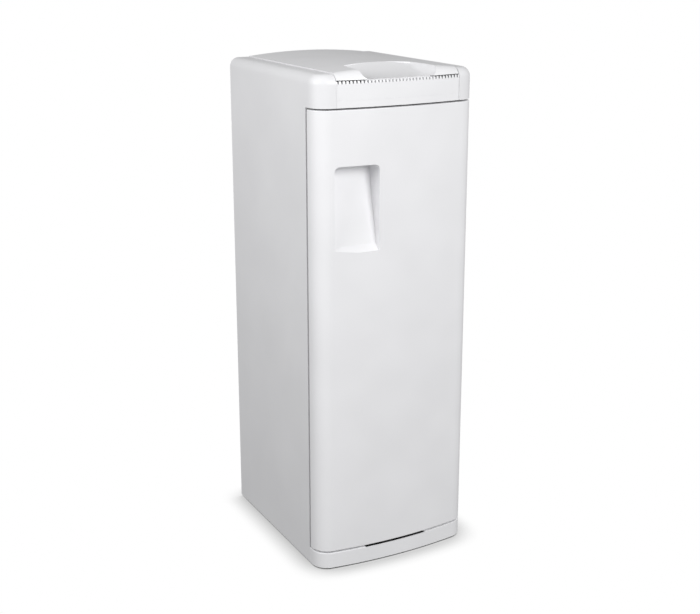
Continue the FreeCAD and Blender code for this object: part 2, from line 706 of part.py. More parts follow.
def scoop_outline(grow, z):
    """The scoop seen from above at one height: its sides lean, so it is wider higher up."""
    lean = (z - LID_EDGE_Z) * math.tan(math.radians(SCOOP_DRAFT))
    y0 = Y_FRONT - 5.0
    corner_y = Y_FRONT + SCOOP_LENGTH + grow
    front_half = SCOOP_FRONT_W / 2 + grow + lean
    rear_half = SCOOP_REAR_W / 2 + grow + lean
    bow = Part.Arc(V(rear_half, corner_y, z), V(0, corner_y + SCOOP_BULGE, z), V(-rear_half, corner_y, z))
    return Part.Wire([
        Part.LineSegment(V(-rear_half, corner_y, z), V(-front_half, y0, z)).toShape(),
        Part.LineSegment(V(-front_half, y0, z), V(front_half, y0, z)).toShape(),
        Part.LineSegment(V(front_half, y0, z), V(rear_half, corner_y, z)).toShape(),
        bow.toShape(),
    ])


def scoop_form(grow):
    """Hollow of the finger scoop: a bowl whose floor rises from the comb to the lid's top."""
    reach = 40.0
    foot, head = scoop_outline(grow, SCOOP_FRONT_Z - reach), scoop_outline(grow, HEIGHT + reach)
    body = Part.makeLoft([foot, head], True, True)
    rise = LID_TOP_Z - SCOOP_FRONT_Z
    run = SCOOP_LENGTH + SCOOP_BULGE
    ramp_r = (run ** 2 + rise ** 2) / (2 * rise)
    ramp = Part.makeCylinder(ramp_r + grow, LID_W, V(-LID_HALF, Y_FRONT, SCOOP_FRONT_Z + ramp_r), ALONG_X)
    body = body.common(ramp)
    creases = [
        e for e in body.Edges
        if abs(e.CenterOfMass.x) > SCOOP_REAR_W / 4 and e.BoundBox.YLength > run / 2 and e.CenterOfMass.z < LID_TOP_Z
    ]
    return body.makeFillet(SCOOP_BOWL_R + grow, creases)


def lid_shell():
    """Moulded lid: cambered top, two front tabs with the finger scoop between them, side and rear skirts."""
    outer = lid_form(0.0).cut(scoop_form(0.0))
    inner = lid_form(LID_T).cut(scoop_form(SCOOP_WALL))
    shell = outer.cut(inner)
    lip_back = FASCIA_SET_BACK + 2 * WALL + 0.7                # the lid stays this far behind the comb
    tabs_half = SCOOP_FRONT_W / 2
    under_front = column(0.0, 0.0, LID_FRONT_Z, CASE_FRONT)
    under_front = under_front.cut(column(lip_back, 0.0, LID_FRONT_Z, CASE_FRONT + 1))
    under_tab = block(tabs_half, LID_HALF, Y_FRONT, CASE_FRONT, 0.0, LID_FRONT_Z)
    shell = shell.cut([under_front, under_tab, mirrored(under_tab)])
    lip = column(lip_back, LID_SKIRT_Z - 3.0, SCOOP_FRONT_Z, CASE_FRONT).cut(
        column(lip_back + 2.0, 0.0, SCOOP_FRONT_Z + 1, CASE_FRONT + 1))
    lip_half = tabs_half - 8.0
    lip = lip.common(block(-lip_half, lip_half, Y_FRONT, CASE_FRONT, 0.0, HEIGHT))
    shell = shell.cut(block(-HALF, HALF, Y_FRONT - 1, Y_REAR + 1, 0.0, LID_SKIRT_Z))
    shell = fused([shell, lip])
    for side in (-1, 1):
        bore = Part.makeCylinder(LID_PIN_R + PIN_CLEAR, 2 * LID_T,
                                 V(side * LID_HALF - LID_T, LID_HINGE_Y, LID_HINGE_Z), ALONG_X)
        shell = shell.cut(bore)
    return shell


def lid_hinge_pins():
    """Two short pins in the cheeks that the lid turns on."""
    pins = []
    for side in (-1, 1):
        start = min(side * (LID_HALF - LID_T), side * (CHEEK_X + WALL))
        pins.append(Part.makeCylinder(LID_PIN_R, CHEEK_X + WALL - LID_HALF + LID_T,
                                      V(start, LID_HINGE_Y, LID_HINGE_Z), ALONG_X))
    return separate(pins)


def lid_inner_panel():
    """Flat inner panel of the lid, over the service deck."""
    half = LID_HALF - LID_T - 0.3
    rear = Y_REAR - LID_T - 6.0
    panel = block(-half, half, DECK_FRONT - 2.0, rear, LID_PANEL_Z, LID_PANEL_Z + LID_PANEL_T)
    legs = []
    for side in (-1, 1):
        for y in (DECK_FRONT + 6.0, rear - 14.0):
            x = side * (half - 5.0)
            legs.append(rod(x, y, LID_PANEL_Z + LID_PANEL_T, LID_EDGE_Z - LID_T - 1.0, 3.0))
    return fused([panel] + legs).cut(lid_form(0.0).cut(lid_form(LID_T)))


def lid_seal():
    """Soft gasket under the lid that meets the deck's walls."""
    z0, z1 = DECK_WALL_TOP + LID_SEAL_CLEAR, LID_PANEL_Z
    ring = block(-DECK_HALF, DECK_HALF, DECK_FRONT, DECK_REAR, z0, z1)
    w = 2 * DECK_T
    return ring.cut(block(-DECK_HALF + w, DECK_HALF - w, DECK_FRONT + w, DECK_REAR - w, z0 - 1, z1 + 1))


# ---------------------------------------------------------------- service deck under the lid
def service_deck():
    """Moulded tray under the lid that carries the filter, the fan, the buttons and the key lock."""
    tray = block(-DECK_HALF, DECK_HALF, DECK_FRONT, DECK_REAR, DECK_Z, DECK_WALL_TOP)
    tray = tray.cut(block(-DECK_HALF + DECK_T, DECK_HALF - DECK_T, DECK_FRONT + DECK_T, DECK_REAR - DECK_T,
                          DECK_TOP, DECK_WALL_TOP + 1))
    cuts = []
    for i in range(-3, 4):
        z0 = DECK_TOP + 4.0
        cuts.append(block(i * 26.0 - 8, i * 26.0 + 8, DECK_FRONT - 1, DECK_FRONT + DECK_T + 1, z0, z0 + 18.0))
    for i in range(-3, 4):
        width = math.sqrt(FAN_BORE_R ** 2 - (i * 10.0) ** 2) - 3.0
        y = FAN_Y + i * 10.0
        cuts.append(block(-width, width, y - 3, y + 3, DECK_Z - 1, DECK_TOP + 1))
    for x in (0.0, BUTTON_X):
        cuts.append(rod(x, BUTTON_Y, DECK_Z - 1, DECK_TOP + 1, BUTTON_R + BUTTON_CLEAR))
    cuts.append(rod(KEY_X, KEY_Y, DECK_Z - 1, DECK_TOP + 1, KEY_R))
    for x in lens_places():
        cuts.append(rod(x, LENS_Y, DECK_Z - 1, DECK_TOP + 1, LENS_R))
    return tray.cut(cuts)


def lens_places():
    return (-12.0, 0.0, 12.0)


def status_lenses():
    """Three clear indicator lenses."""
    lenses = []
    for x in lens_places():
        stem = rod(x, LENS_Y, DECK_Z, DECK_TOP, LENS_R)
        cap = Part.makeSphere(LENS_R, V(x, LENS_Y, DECK_TOP), UP, 0, 90, 360)
        lenses.append(stem.fuse(cap))
    return separate(lenses)


def button(x):
    """Round push button with a dished top and a keeper flange under the deck."""
    cap = rod(x, BUTTON_Y, DECK_Z - 5.0, DECK_TOP + BUTTON_H, BUTTON_R)
    dish = Part.makeSphere(4 * BUTTON_R, V(x, BUTTON_Y, DECK_TOP + BUTTON_H + 4 * BUTTON_R - 1.0))
    return cap.cut(dish)


def start_button():
    return button(0.0)


def stop_button():
    return button(BUTTON_X)


def button_bezels():
    """Collars round the two buttons."""
    z1 = DECK_TOP + BUTTON_H - BUTTON_TRAVEL - 1.5
    inner = BUTTON_R + BUTTON_CLEAR
    return separate([tube(x, BUTTON_Y, DECK_TOP, z1, inner + BEZEL_WALL, inner) for x in (0.0, BUTTON_X)])


def key_lock_barrel():
    """Fixed barrel of the key lock."""
    body = rod(KEY_X, KEY_Y, DECK_Z - 10.0, DECK_TOP, KEY_R)
    collar = rod(KEY_X, KEY_Y, DECK_TOP, DECK_TOP + 4.0, KEY_R + 3.0)
    return fused([body, collar]).cut(rod(KEY_X, KEY_Y, DECK_Z - 7.0, DECK_TOP + 5.0, KEY_R - 3.0))


def key_lock_rotor():
    """Turning plug of the key lock, with its grip bar."""
    plug = rod(KEY_X, KEY_Y, DECK_Z - 7.0, DECK_TOP + 4.5, KEY_R - 3.0 - PIN_CLEAR)
    bar = block(KEY_X - 2.5, KEY_X + 2.5, KEY_Y - 9.0, KEY_Y + 9.0, DECK_TOP + 4.5, DECK_TOP + 14.0)
    return fused([plug, bar])


def filter_cassette():
    """Charcoal filter in a frame, over the fan's grille."""
    half_w, half_l = FILTER_W / 2, FILTER_L / 2
    case = block(-half_w, half_w, FAN_Y - half_l, FAN_Y + half_l, DECK_TOP, DECK_TOP + FILTER_H)
    cuts = []
    for i in range(-5, 6):
        x = i * 11.0
        cuts.append(block(x - 3.5, x + 3.5, FAN_Y - half_l + 8, FAN_Y + half_l - 8,
                          DECK_TOP + FILTER_H - 4.0, DECK_TOP + FILTER_H + 1))
    pull = block(-18, 18, FAN_Y - 2.0, FAN_Y + 2.0, DECK_TOP + FILTER_H, DECK_TOP + FILTER_H + 6.0)
    return case.cut(cuts).fuse(pull)


def fan_housing():
    """Square axial fan frame under the deck, with three spokes that carry the motor."""
    half = FAN_W / 2
    frame = block(-half, half, FAN_Y - half, FAN_Y + half, FAN_Z, DECK_Z)
    frame = frame.cut(rod(0, FAN_Y, FAN_Z - 1, DECK_Z + 1, FAN_BORE_R))
    spokes = []
    for i in range(3):
        spoke = block(0, FAN_BORE_R + 1, -2.0, 2.0, DECK_Z - 3.0, DECK_Z)
        spoke.rotate(V(0, 0, 0), UP, 30 + 120 * i)
        spoke.translate(V(0, FAN_Y, 0))
        spokes.append(spoke)
    boss = rod(0, FAN_Y, DECK_Z - 6.0, DECK_Z, FAN_HUB_R)
    spindle = rod(0, FAN_Y, DECK_Z - 16.0, DECK_Z - 6.0, 2.0)
    return fused([frame, boss, spindle] + spokes)


def fan_impeller():
    """Hub and pitched blades that draw air up from the chamber."""
    z0, z1 = FAN_Z + 2.0, DECK_Z - 6.5
    hub = rod(0, FAN_Y, z0, z1, FAN_HUB_R)
    hub = hub.cut(rod(0, FAN_Y, DECK_Z - 17.0, z1 + 1, 2.0 + PIN_CLEAR))
    tip = FAN_BORE_R - FAN_TIP_CLEAR
    ring = tube(0, FAN_Y, z0, z1, tip, 1.0)
    blades = []
    for i in range(FAN_BLADES):
        blade = Part.makeBox(tip + 5, 22.0, 1.6, V(FAN_HUB_R - 2.0, -11.0, -0.8))
        blade.rotate(V(0, 0, 0), ALONG_X, 35)
        blade.translate(V(0, 0, (z0 + z1) / 2))
        blade.rotate(V(0, 0, 0), UP, 360.0 * i / FAN_BLADES)
        blade.translate(V(0, FAN_Y, 0))
        blades.append(blade.common(ring))
    return fused([hub] + blades)


def control_board():
    """Circuit board with its transformer, relays and terminal row, under the deck."""
    z = DECK_Z - 14.0
    half = BOARD_W / 2
    board = block(-half, half, BOARD_Y0, BOARD_Y0 + BOARD_L, z, z + 1.6)
    chips = [
        block(-half + 8, -half + 38, BOARD_Y0 + 20, BOARD_Y0 + 50, z - 18.0, z),
        block(half - 30, half - 12, BOARD_Y0 + 8, BOARD_Y0 + 28, z - 12.0, z),
        block(half - 30, half - 12, BOARD_Y0 + 34, BOARD_Y0 + 54, z - 12.0, z),
        block(-20, 30, BOARD_Y0 + 54, BOARD_Y0 + 64, z - 10.0, z),
    ]
    posts = [rod(sx * (half - 5), BOARD_Y0 + y, z + 1.6, DECK_Z, 2.5)
             for sx in (-1, 1) for y in (5.0, BOARD_L - 5.0)]
    return fused([board] + chips + posts)


# ---------------------------------------------------------------- frame of the press
def guide_rail_left():
    """Steel channel, open towards the chamber, that guides one end of the press beam."""
    rail = block(-RAIL_OUTER_X, -RAIL_INNER_X, -RAIL_HALF, RAIL_HALF, LOWER_DECK_Z, UPPER_BEAM_Z)
    return rail.cut(block(-RAIL_OUTER_X + RAIL_T, 0, -RAIL_HALF + RAIL_T, RAIL_HALF - RAIL_T,
                          LOWER_DECK_Z - 1, UPPER_BEAM_Z + 1))


def guide_rail_right():
    return mirrored(guide_rail_left())


def lower_beam():
    """Bridge that carries the motor and the screws' thrust bearings; its ends fold down to the base pan."""
    foot = BASE_Z + SHEET
    top = block(-RAIL_OUTER_X, RAIL_OUTER_X, LOWER_BEAM_FRONT, LOWER_BEAM_REAR, LOWER_BEAM_Z, LOWER_DECK_Z)
    end = FOOT_X - FOOT_R
    front = block(-end, end, LOWER_BEAM_FRONT, LOWER_BEAM_FRONT + PLATE, foot, LOWER_BEAM_Z)
    rear = block(-end, end, LOWER_BEAM_REAR - PLATE, LOWER_BEAM_REAR, foot, LOWER_BEAM_Z)
    holes = [rod(s * SCREW_X, 0, LOWER_BEAM_Z - 1, LOWER_DECK_Z + 1, SCREW_R + 0.5) for s in (-1, 1)]
    holes.append(rod(0, MOTOR_Y, LOWER_BEAM_Z - 1, LOWER_DECK_Z + 1, SHAFT_R + 2.0))
    holes.append(rod(0, TENSION_Y, LOWER_BEAM_Z - 1, LOWER_DECK_Z + 1, SHAFT_R))
    return fused([top, front, rear]).cut(holes)


def upper_beam():
    """Bridge across the top of the rails that carries the upper bushes."""
    z1 = UPPER_BEAM_Z + PLATE
    top = block(-RAIL_OUTER_X, RAIL_OUTER_X, -UPPER_BEAM_HALF, UPPER_BEAM_HALF, UPPER_BEAM_Z, z1)
    lips = [block(-RAIL_OUTER_X, RAIL_OUTER_X, y, y + PLATE, UPPER_BEAM_Z - UPPER_BEAM_LIP, UPPER_BEAM_Z)
            for y in (-UPPER_BEAM_HALF, UPPER_BEAM_HALF - PLATE)]
    return fused([top] + lips)


def thrust_bearings():
    """Rings on the lower beam that take the pull of the two screws."""
    return separate([tube(s * SCREW_X, 0, LOWER_DECK_Z, LOWER_DECK_Z + BEARING_H, BEARING_R, SCREW_R + BEARING_CLEAR)
                     for s in (-1, 1)])


def upper_bushes():
    """Rings under the upper beam that steady the screws' free ends."""
    return separate([tube(s * SCREW_X, 0, UPPER_BEAM_Z - 8.0, UPPER_BEAM_Z, BEARING_R, SCREW_R + BEARING_CLEAR)
                     for s in (-1, 1)])


def power_screw(x):
    """Screw with a collar that rests on its thrust bearing, and a plain end for the pulley."""
    z0, z1 = PULLEY_Z - 3.0, UPPER_BEAM_Z - 1.0
    collar_z = LOWER_DECK_Z + BEARING_H
    return fused([rod(x, 0, z0, z1, SCREW_R), rod(x, 0, collar_z, collar_z + 5.0, BEARING_R - 1.0)])


def power_screw_left():
    return power_screw(-SCREW_X)


def power_screw_right():
    return power_screw(SCREW_X)


def pulley(x, y, r, bore):
    """Belt pulley with two thin flanges."""
    body = rod(x, y, PULLEY_Z, PULLEY_Z + PULLEY_H, r)
    rims = [rod(x, y, z, z + PULLEY_FLANGE_T, r + PULLEY_FLANGE)
            for z in (PULLEY_Z, PULLEY_Z + PULLEY_H - PULLEY_FLANGE_T)]
    return fused([body] + rims).cut(rod(x, y, PULLEY_Z - 1, PULLEY_Z + PULLEY_H + 1, bore))


def screw_pulley_left():
    return pulley(-SCREW_X, 0, PULLEY_R, SCREW_R)


def screw_pulley_right():
    return pulley(SCREW_X, 0, PULLEY_R, SCREW_R)


def motor_pulley():
    """Driving pulley together with the gearbox's output shaft."""
    shaft = rod(0, MOTOR_Y, PULLEY_Z, LOWER_DECK_Z, SHAFT_R)
    return fused([pulley(0, MOTOR_Y, MOTOR_PULLEY_R, SHAFT_R), shaft])


def tension_pulley():
    """Idler that keeps the belt tight."""
    return pulley(0, TENSION_Y, TENSION_PULLEY_R, SHAFT_R + PIN_CLEAR)


def tension_spindle():
    """Bolt that carries the idler under the lower beam."""
    shaft = rod(0, TENSION_Y, PULLEY_Z - 3.0, LOWER_DECK_Z, SHAFT_R)
    foot = rod(0, TENSION_Y, PULLEY_Z - 5.0, PULLEY_Z - 1.0, SHAFT_R + 2.0)
    return fused([shaft, foot, nut_prism(0, TENSION_Y, LOWER_DECK_Z, LOWER_DECK_Z + 5.0, 7.0)])


def belt_circles(grow):
    """Pulley centres and belt radii, in order round the loop."""
    return [
        (-SCREW_X, 0.0, PULLEY_R + grow),
        (0.0, TENSION_Y, TENSION_PULLEY_R + grow),
        (SCREW_X, 0.0, PULLEY_R + grow),
        (0.0, MOTOR_Y, MOTOR_PULLEY_R + grow),
    ]


def belt_loop(grow, z0, z1):
    """Solid bounded by the outer tangents of the pulleys."""
    circles = belt_circles(grow)
    wraps = []
    for i, (ax, ay, ar) in enumerate(circles):
        bx, by, br = circles[(i + 1) % len(circles)]
        span = math.hypot(bx - ax, by - ay)
        heading = math.atan2(by - ay, bx - ax)
        normal = heading - math.acos((ar - br) / span)
        wraps.append((V(ax + ar * math.cos(normal), ay + ar * math.sin(normal), z0),
                      V(bx + br * math.cos(normal), by + br * math.sin(normal), z0), normal))
    edges = []
    for i, (ax, ay, ar) in enumerate(circles):
        arrive, leave = wraps[i - 1], wraps[i]
        turn = (leave[2] - arrive[2]) % (2 * math.pi)
        mid = arrive[2] + turn / 2
        through = V(ax + ar * math.cos(mid), ay + ar * math.sin(mid), z0)
        edges.append(Part.Arc(arrive[1], through, leave[0]).toShape())
        edges.append(Part.LineSegment(leave[0], leave[1]).toShape())
    return Part.Face(Part.Wire(edges)).extrude(UP * (z1 - z0))


def drive_belt():
    """Belt that turns both screws together."""
    z0 = PULLEY_Z + (PULLEY_H - BELT_W) / 2
    return belt_loop(BELT_CLEAR + BELT_T, z0, z0 + BELT_W).cut(belt_loop(BELT_CLEAR, z0 - 1, z0 + BELT_W + 1))


def reduction_gearbox():
    """Gear case between the motor and the belt."""
    case = block(-GEARBOX_W / 2, GEARBOX_W / 2, MOTOR_Y - GEARBOX_L / 2, MOTOR_Y + GEARBOX_L / 2,
                 LOWER_DECK_Z, LOWER_DECK_Z + GEARBOX_H)
    upright = edges_where(case, lambda p: abs(abs(p.x) - GEARBOX_W / 2) < 1e-6)
    upright = [e for e in upright if e.BoundBox.ZLength > GEARBOX_H - 1]
    return case.makeFillet(8.0, upright)


def drive_motor():
    """Motor can with its end bell."""
    z0 = LOWER_DECK_Z + GEARBOX_H
    can = rod(0, MOTOR_Y, z0, z0 + MOTOR_H - 4.0, MOTOR_R)
    bell = rod(0, MOTOR_Y, z0 + MOTOR_H - 4.0, z0 + MOTOR_H, MOTOR_R - 6.0)
    body = fused([can, bell])
    slots = []
    for i in range(12):
        slot = block(MOTOR_R - 2.0, MOTOR_R + 1, -2.0, 2.0, z0 + 12.0, z0 + 34.0)
        slot.rotate(V(0, 0, 0), UP, 30 * i)
        slot.translate(V(0, MOTOR_Y, 0))
        slots.append(slot)
    return body.cut(slots)


# ---------------------------------------------------------------- press
def press_plate():
    """Steel plate that meets the waste, with its edge turned up."""
    half = PRESS_W / 2
    plate = block(-half, half, -half, half, PRESS_Z, PRESS_Z + PRESS_RIM)
    plate = plate.makeFillet(10.0, [e for e in plate.Edges if e.BoundBox.ZLength > PRESS_RIM - 1])
    inner = block(-half + PRESS_T, half - PRESS_T, -half + PRESS_T, half - PRESS_T,
                  PRESS_Z + PRESS_T, PRESS_Z + PRESS_RIM + 1)
    return plate.cut(inner)


def press_column():
    """Square hollow column between the beam and the press plate."""
    half = COLUMN_W / 2
    z0, z1 = PRESS_Z + PRESS_T, BEAM_Z
    body = block(-half, half, -half, half, z0, z1)
    body = body.makeFillet(8.0, [e for e in body.Edges if e.BoundBox.ZLength > z1 - z0 - 1])
    return body.cut(block(-half + PLATE, half - PLATE, -half + PLATE, half - PLATE, z0 - 1, z1 - PLATE))


def press_beam():
    """Channel that spans the chamber and reaches through the liner's slots to the two nuts."""
    beam = block(-NUT_X0, NUT_X0, -BEAM_HALF, BEAM_HALF, BEAM_Z, BEAM_Z + BEAM_H)
    return beam.cut(block(-NUT_X0 - 1, NUT_X0 + 1, -BEAM_HALF + PLATE, BEAM_HALF - PLATE,
                          BEAM_Z + PLATE, BEAM_Z + BEAM_H + 1))


def press_nuts():
    """Bronze nuts that ride on the screws."""
    nuts = []
    for side in (-1, 1):
        x0, x1 = sorted((side * NUT_X0, side * NUT_X1))
        nut = block(x0, x1, -SHOE_HALF, SHOE_HALF, NUT_Z, NUT_Z + NUT_H)
        nuts.append(nut.cut(rod(side * SCREW_X, 0, NUT_Z - 1, NUT_Z + NUT_H + 1, SCREW_R + SCREW_CLEAR)))
    return separate(nuts)


def guide_shoes():
    """Plastic shoes above and below each nut that slide in the rails."""
    shoes = []
    for side in (-1, 1):
        for z in (NUT_Z - SHOE_H, NUT_Z + NUT_H):
            x0, x1 = sorted((side * NUT_X0, side * NUT_X1))
            shoe = block(x0, x1, -SHOE_HALF, SHOE_HALF, z, z + SHOE_H)
            shoes.append(shoe.cut(rod(side * SCREW_X, 0, z - 1, z + SHOE_H + 1, SCREW_R + 1.0)))
    return separate(shoes)


# ---------------------------------------------------------------- chamber and bin
def chamber_liner():
    """Sheet lining of the compaction chamber, with a slot each side for the press beam."""
    z0, z1 = CHAMBER_FLOOR_Z + CHAMBER_FLOOR_T, FAN_Z - 2.0
    front = CASE_FRONT + SHEET + FRAME_FLANGE
    body = block(-CHAMBER_HALF, CHAMBER_HALF, front, LINER_REAR_Y, z0, z1)
    body = body.cut(block(-CHAMBER_HALF + LINER_T, CHAMBER_HALF - LINER_T, front - 1, LINER_REAR_Y - LINER_T,
                          z0 - 1, z1 + 1))
    slot_z = BEAM_Z - RAM_TRAVEL - 6.0
    slot = block(-CHAMBER_HALF - 1, CHAMBER_HALF + 1, -LINER_SLOT_HALF, LINER_SLOT_HALF, slot_z, z1 + 1)
    return body.cut(slot)


def chamber_floor():
    """Floor plate of the chamber, over the motor."""
    front = CASE_FRONT + SHEET + FRAME_FLANGE
    return block(-RAIL_INNER_X, RAIL_INNER_X, front, LINER_REAR_Y,
                 CHAMBER_FLOOR_Z, CHAMBER_FLOOR_Z + CHAMBER_FLOOR_T)


def bin_runners():
    """Two low strips that the bin slides in on."""
    z0 = CHAMBER_FLOOR_Z + CHAMBER_FLOOR_T
    return separate([block(x - RUNNER_W / 2, x + RUNNER_W / 2, -BIN_FOOT_W / 2, BIN_FOOT_W / 2, z0, z0 + RUNNER_H)
                     for x in (-RUNNER_X, RUNNER_X)])


def taper(foot, top, z0, z1):
    """Square tapered solid with rounded upright edges."""
    def ring(width, z):
        half, r = width / 2, 12.0
        square = Part.makePolygon([V(-half, -half, z), V(half, -half, z), V(half, half, z),
                                   V(-half, half, z), V(-half, -half, z)])
        return square
    body = Part.makeLoft([ring(foot, z0), ring(top, z1)], True, True)
    return body.makeFillet(12.0, [e for e in body.Edges if e.BoundBox.ZLength > z1 - z0 - 1])


def waste_bin():
    """Tapered bin with a turned-out rim and a grip slot in its front and back."""
    slope = (BIN_W - BIN_FOOT_W) / BIN_H
    body = taper(BIN_FOOT_W, BIN_W, BIN_Z, BIN_TOP)
    rim = taper(BIN_W - 1.0, BIN_W + 2 * BIN_RIM, BIN_TOP - BIN_RIM_H, BIN_TOP)
    inner_foot = BIN_FOOT_W - 2 * BIN_WALL + slope * BIN_WALL
    inner = taper(inner_foot, BIN_W - 2 * BIN_WALL + slope, BIN_Z + BIN_WALL, BIN_TOP + 1.0)
    grip_z = BIN_TOP - BIN_RIM_H - BIN_GRIP_H - 14.0
    grip = block(-BIN_GRIP_W / 2, BIN_GRIP_W / 2, -BIN_W, BIN_W, grip_z, grip_z + BIN_GRIP_H)
    return fused([body, rim]).cut(inner).cut(grip)


# ---------------------------------------------------------------- mains inlet
def power_inlet():
    """Mains inlet socket in the rear panel, with its three blades."""
    back = REAR_PANEL_Y + SHEET
    flange = block(INLET_X - INLET_W / 2 - 7, INLET_X + INLET_W / 2 + 7, back, back + 1.2,
                   INLET_Z - INLET_H / 2 - 3, INLET_Z + INLET_H / 2 + 3)
    body = block(INLET_X - INLET_W / 2, INLET_X + INLET_W / 2, back - INLET_DEEP, back,
                 INLET_Z - INLET_H / 2, INLET_Z + INLET_H / 2)
    socket = block(INLET_X - 12, INLET_X + 12, back - 15.0, back + 2, INLET_Z - 8, INLET_Z + 8)
    blades = [block(INLET_X + dx - 1, INLET_X + dx + 1, back - 15.0, back - 2.0,
                    INLET_Z + dz - 2, INLET_Z + dz + 2)
              for dx, dz in ((-7, -1), (0, 1), (7, -1))]
    return fused([flange, body]).cut(socket).fuse(blades)


NODES = [
    side_shell_left, side_shell_right, front_fascia, plinth, rear_panel, rear_panel_screws, base_pan,
    levelling_feet, front_frame,
    door_shell, door_inner_panel, door_seal, door_bushes, door_strike_plate, door_magnet,
    upper_hinge_bracket, lower_hinge_bracket, hinge_bracket_screws, door_hinge_pins,
    lid_shell, lid_hinge_pins, lid_inner_panel, lid_seal,
    service_deck, status_lenses, start_button, stop_button, button_bezels, key_lock_barrel, key_lock_rotor,
    filter_cassette, fan_housing, fan_impeller, control_board,
    guide_rail_left, guide_rail_right, lower_beam, upper_beam, thrust_bearings, upper_bushes,
    power_screw_left, power_screw_right, screw_pulley_left, screw_pulley_right, motor_pulley,
    tension_pulley, tension_spindle, drive_belt, reduction_gearbox, drive_motor,
    press_plate, press_column, press_beam, press_nuts, guide_shoes,
    chamber_liner, chamber_floor, bin_runners, waste_bin,
    power_inlet,
]


def main():
    os.makedirs(PARTS, exist_ok=True)
    for make in NODES:
        shape = make()
        if not shape.isValid():
            print("not valid:", make.__name__)
        shape.exportStep(os.path.join(PARTS, make.__name__ + ".step"))
        print(f"{make.__name__}: {len(shape.Solids)} solid(s), {shape.Volume / 1000:.1f} cm3")


main()
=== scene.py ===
"""Looks of a slim free-standing trash compactor, built round its packed mechanical model.

Run as a script it builds every visual piece through the operators below. The units are metres.
"""

import json
import math

import bmesh
import bpy
from mathutils import Matrix, Vector


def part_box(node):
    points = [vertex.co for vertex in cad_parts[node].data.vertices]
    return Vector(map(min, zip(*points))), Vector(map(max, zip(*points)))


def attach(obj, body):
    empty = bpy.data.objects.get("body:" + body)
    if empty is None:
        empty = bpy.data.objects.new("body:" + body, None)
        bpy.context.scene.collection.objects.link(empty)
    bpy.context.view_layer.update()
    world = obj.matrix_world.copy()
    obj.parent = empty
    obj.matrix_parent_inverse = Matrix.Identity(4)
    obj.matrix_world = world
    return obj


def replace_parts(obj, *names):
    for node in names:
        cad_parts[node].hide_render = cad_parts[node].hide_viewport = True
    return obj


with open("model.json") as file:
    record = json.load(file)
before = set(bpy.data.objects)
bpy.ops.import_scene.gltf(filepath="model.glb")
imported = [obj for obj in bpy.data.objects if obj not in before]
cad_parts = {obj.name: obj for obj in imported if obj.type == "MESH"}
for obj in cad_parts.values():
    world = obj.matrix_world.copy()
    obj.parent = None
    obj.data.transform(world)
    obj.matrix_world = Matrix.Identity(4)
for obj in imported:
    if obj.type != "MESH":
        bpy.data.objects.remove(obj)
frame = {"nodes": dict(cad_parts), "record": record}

bl_info = {
    "name": "Trash Compactor Looks",
    "version": (1, 0, 0),
    "blender": (4, 5, 0),
    "location": "View3D > Sidebar > Compactor",
    "description": "Finishes, gaskets, screw threads and filter of a slim trash compactor",
    "category": "Object",
}

MM = 0.001
FULL_TURN = 2 * math.pi
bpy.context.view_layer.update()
SLOT_OF = {part["node"]: part["material_slot"] for part in frame["record"]["subparts"]}
BODY_OF = {node: body for body, nodes in frame["record"]["behaviour"]["bodies"].items() for node in nodes}

# the press's drive
SCREW_R = 7 * MM
LEAD = 12 * MM               # the press's travel for one turn of the screws
THREAD_STEPS = 20            # facets round one turn
THREAD_FOOT_Z = 67 * MM
THREAD_HEAD = 20 * MM        # plain length at the top
COLLAR_LIFT = 10 * MM        # the collar's foot over the lower beam
COLLAR_H = 5 * MM
THREAD_PROFILE = ((0.0, False), (0.32, False), (0.5, True), (0.82, True))   # share of the pitch, on the crest
ROD_INSIDE = 1.6 * LEAD      # how far a plain end goes on inside the thread
ROD_CHAMFER = 0.8 * MM

GASKET_SIDES = 24
GASKET_BEND_STEPS = 8
GASKET_WAIST = 0.45          # how far the valley between a gasket's lobes goes in
GASKET_VALLEY = 0.35         # its width, as a share of the gasket's
DOOR_GASKET_W = 9 * MM
LID_GASKET_W = 5 * MM

PLEAT = 3.4 * MM
PLEAT_T = 0.5 * MM
PLEAT_DROPS = (0.6 * MM, 3.0 * MM)
PLEATS_UNDER_TOP = 6 * MM
PLEATS_HALF_X = 59 * MM
PLEATS_HALF_Y = 36 * MM

# studio: name, place, aim, diameter, watts
LIGHTS = (
    ("front_softbox", (0.25, -2.25, 1.6), (0, 0, 0.55), 1.2, 32.5),
    ("left_softbox", (-1.35, -0.3, 1.3), (0, 0, 0.65), 0.8, 10.2),
    ("back_softbox", (1.2, 1.9, 0.35), (0, 0, 0.35), 0.6, 20.0),
)
ROOM_LIGHT = 0.39
FLOOR_HALF = 12.0
# the contact shadow beside the machine, then the dark under it: how far off the floor is shaded, the share
# of open sky that is darkest and that is clear, and the darkest tone
FLOOR_SHADES = (
    (45 * MM, 0.35, 0.97, 0.42),
    (300 * MM, 0.1, 0.3, 0.02),
)
LENS_MM = 61.8
LENS_SHIFT = -0.03
CAMERA_PLACE = (-0.9947, -1.8712, 1.0701)
CAMERA_PITCH = 16.0          # degrees below level
CAMERA_YAW = 28.0            # degrees from straight ahead
SENSOR_MM = 36.0
FARTHEST = 60.0


# ---------------------------------------------------------------- colours and nodes
def linear(hex_colour, alpha=1.0):
    """Linear RGBA of an sRGB hex colour."""
    channels = [int(hex_colour[i : i + 2], 16) / 255 for i in (1, 3, 5)]
    out = [c / 12.92 if c <= 0.04045 else ((c + 0.055) / 1.055) ** 2.4 for c in channels]
    return (*out, alpha)


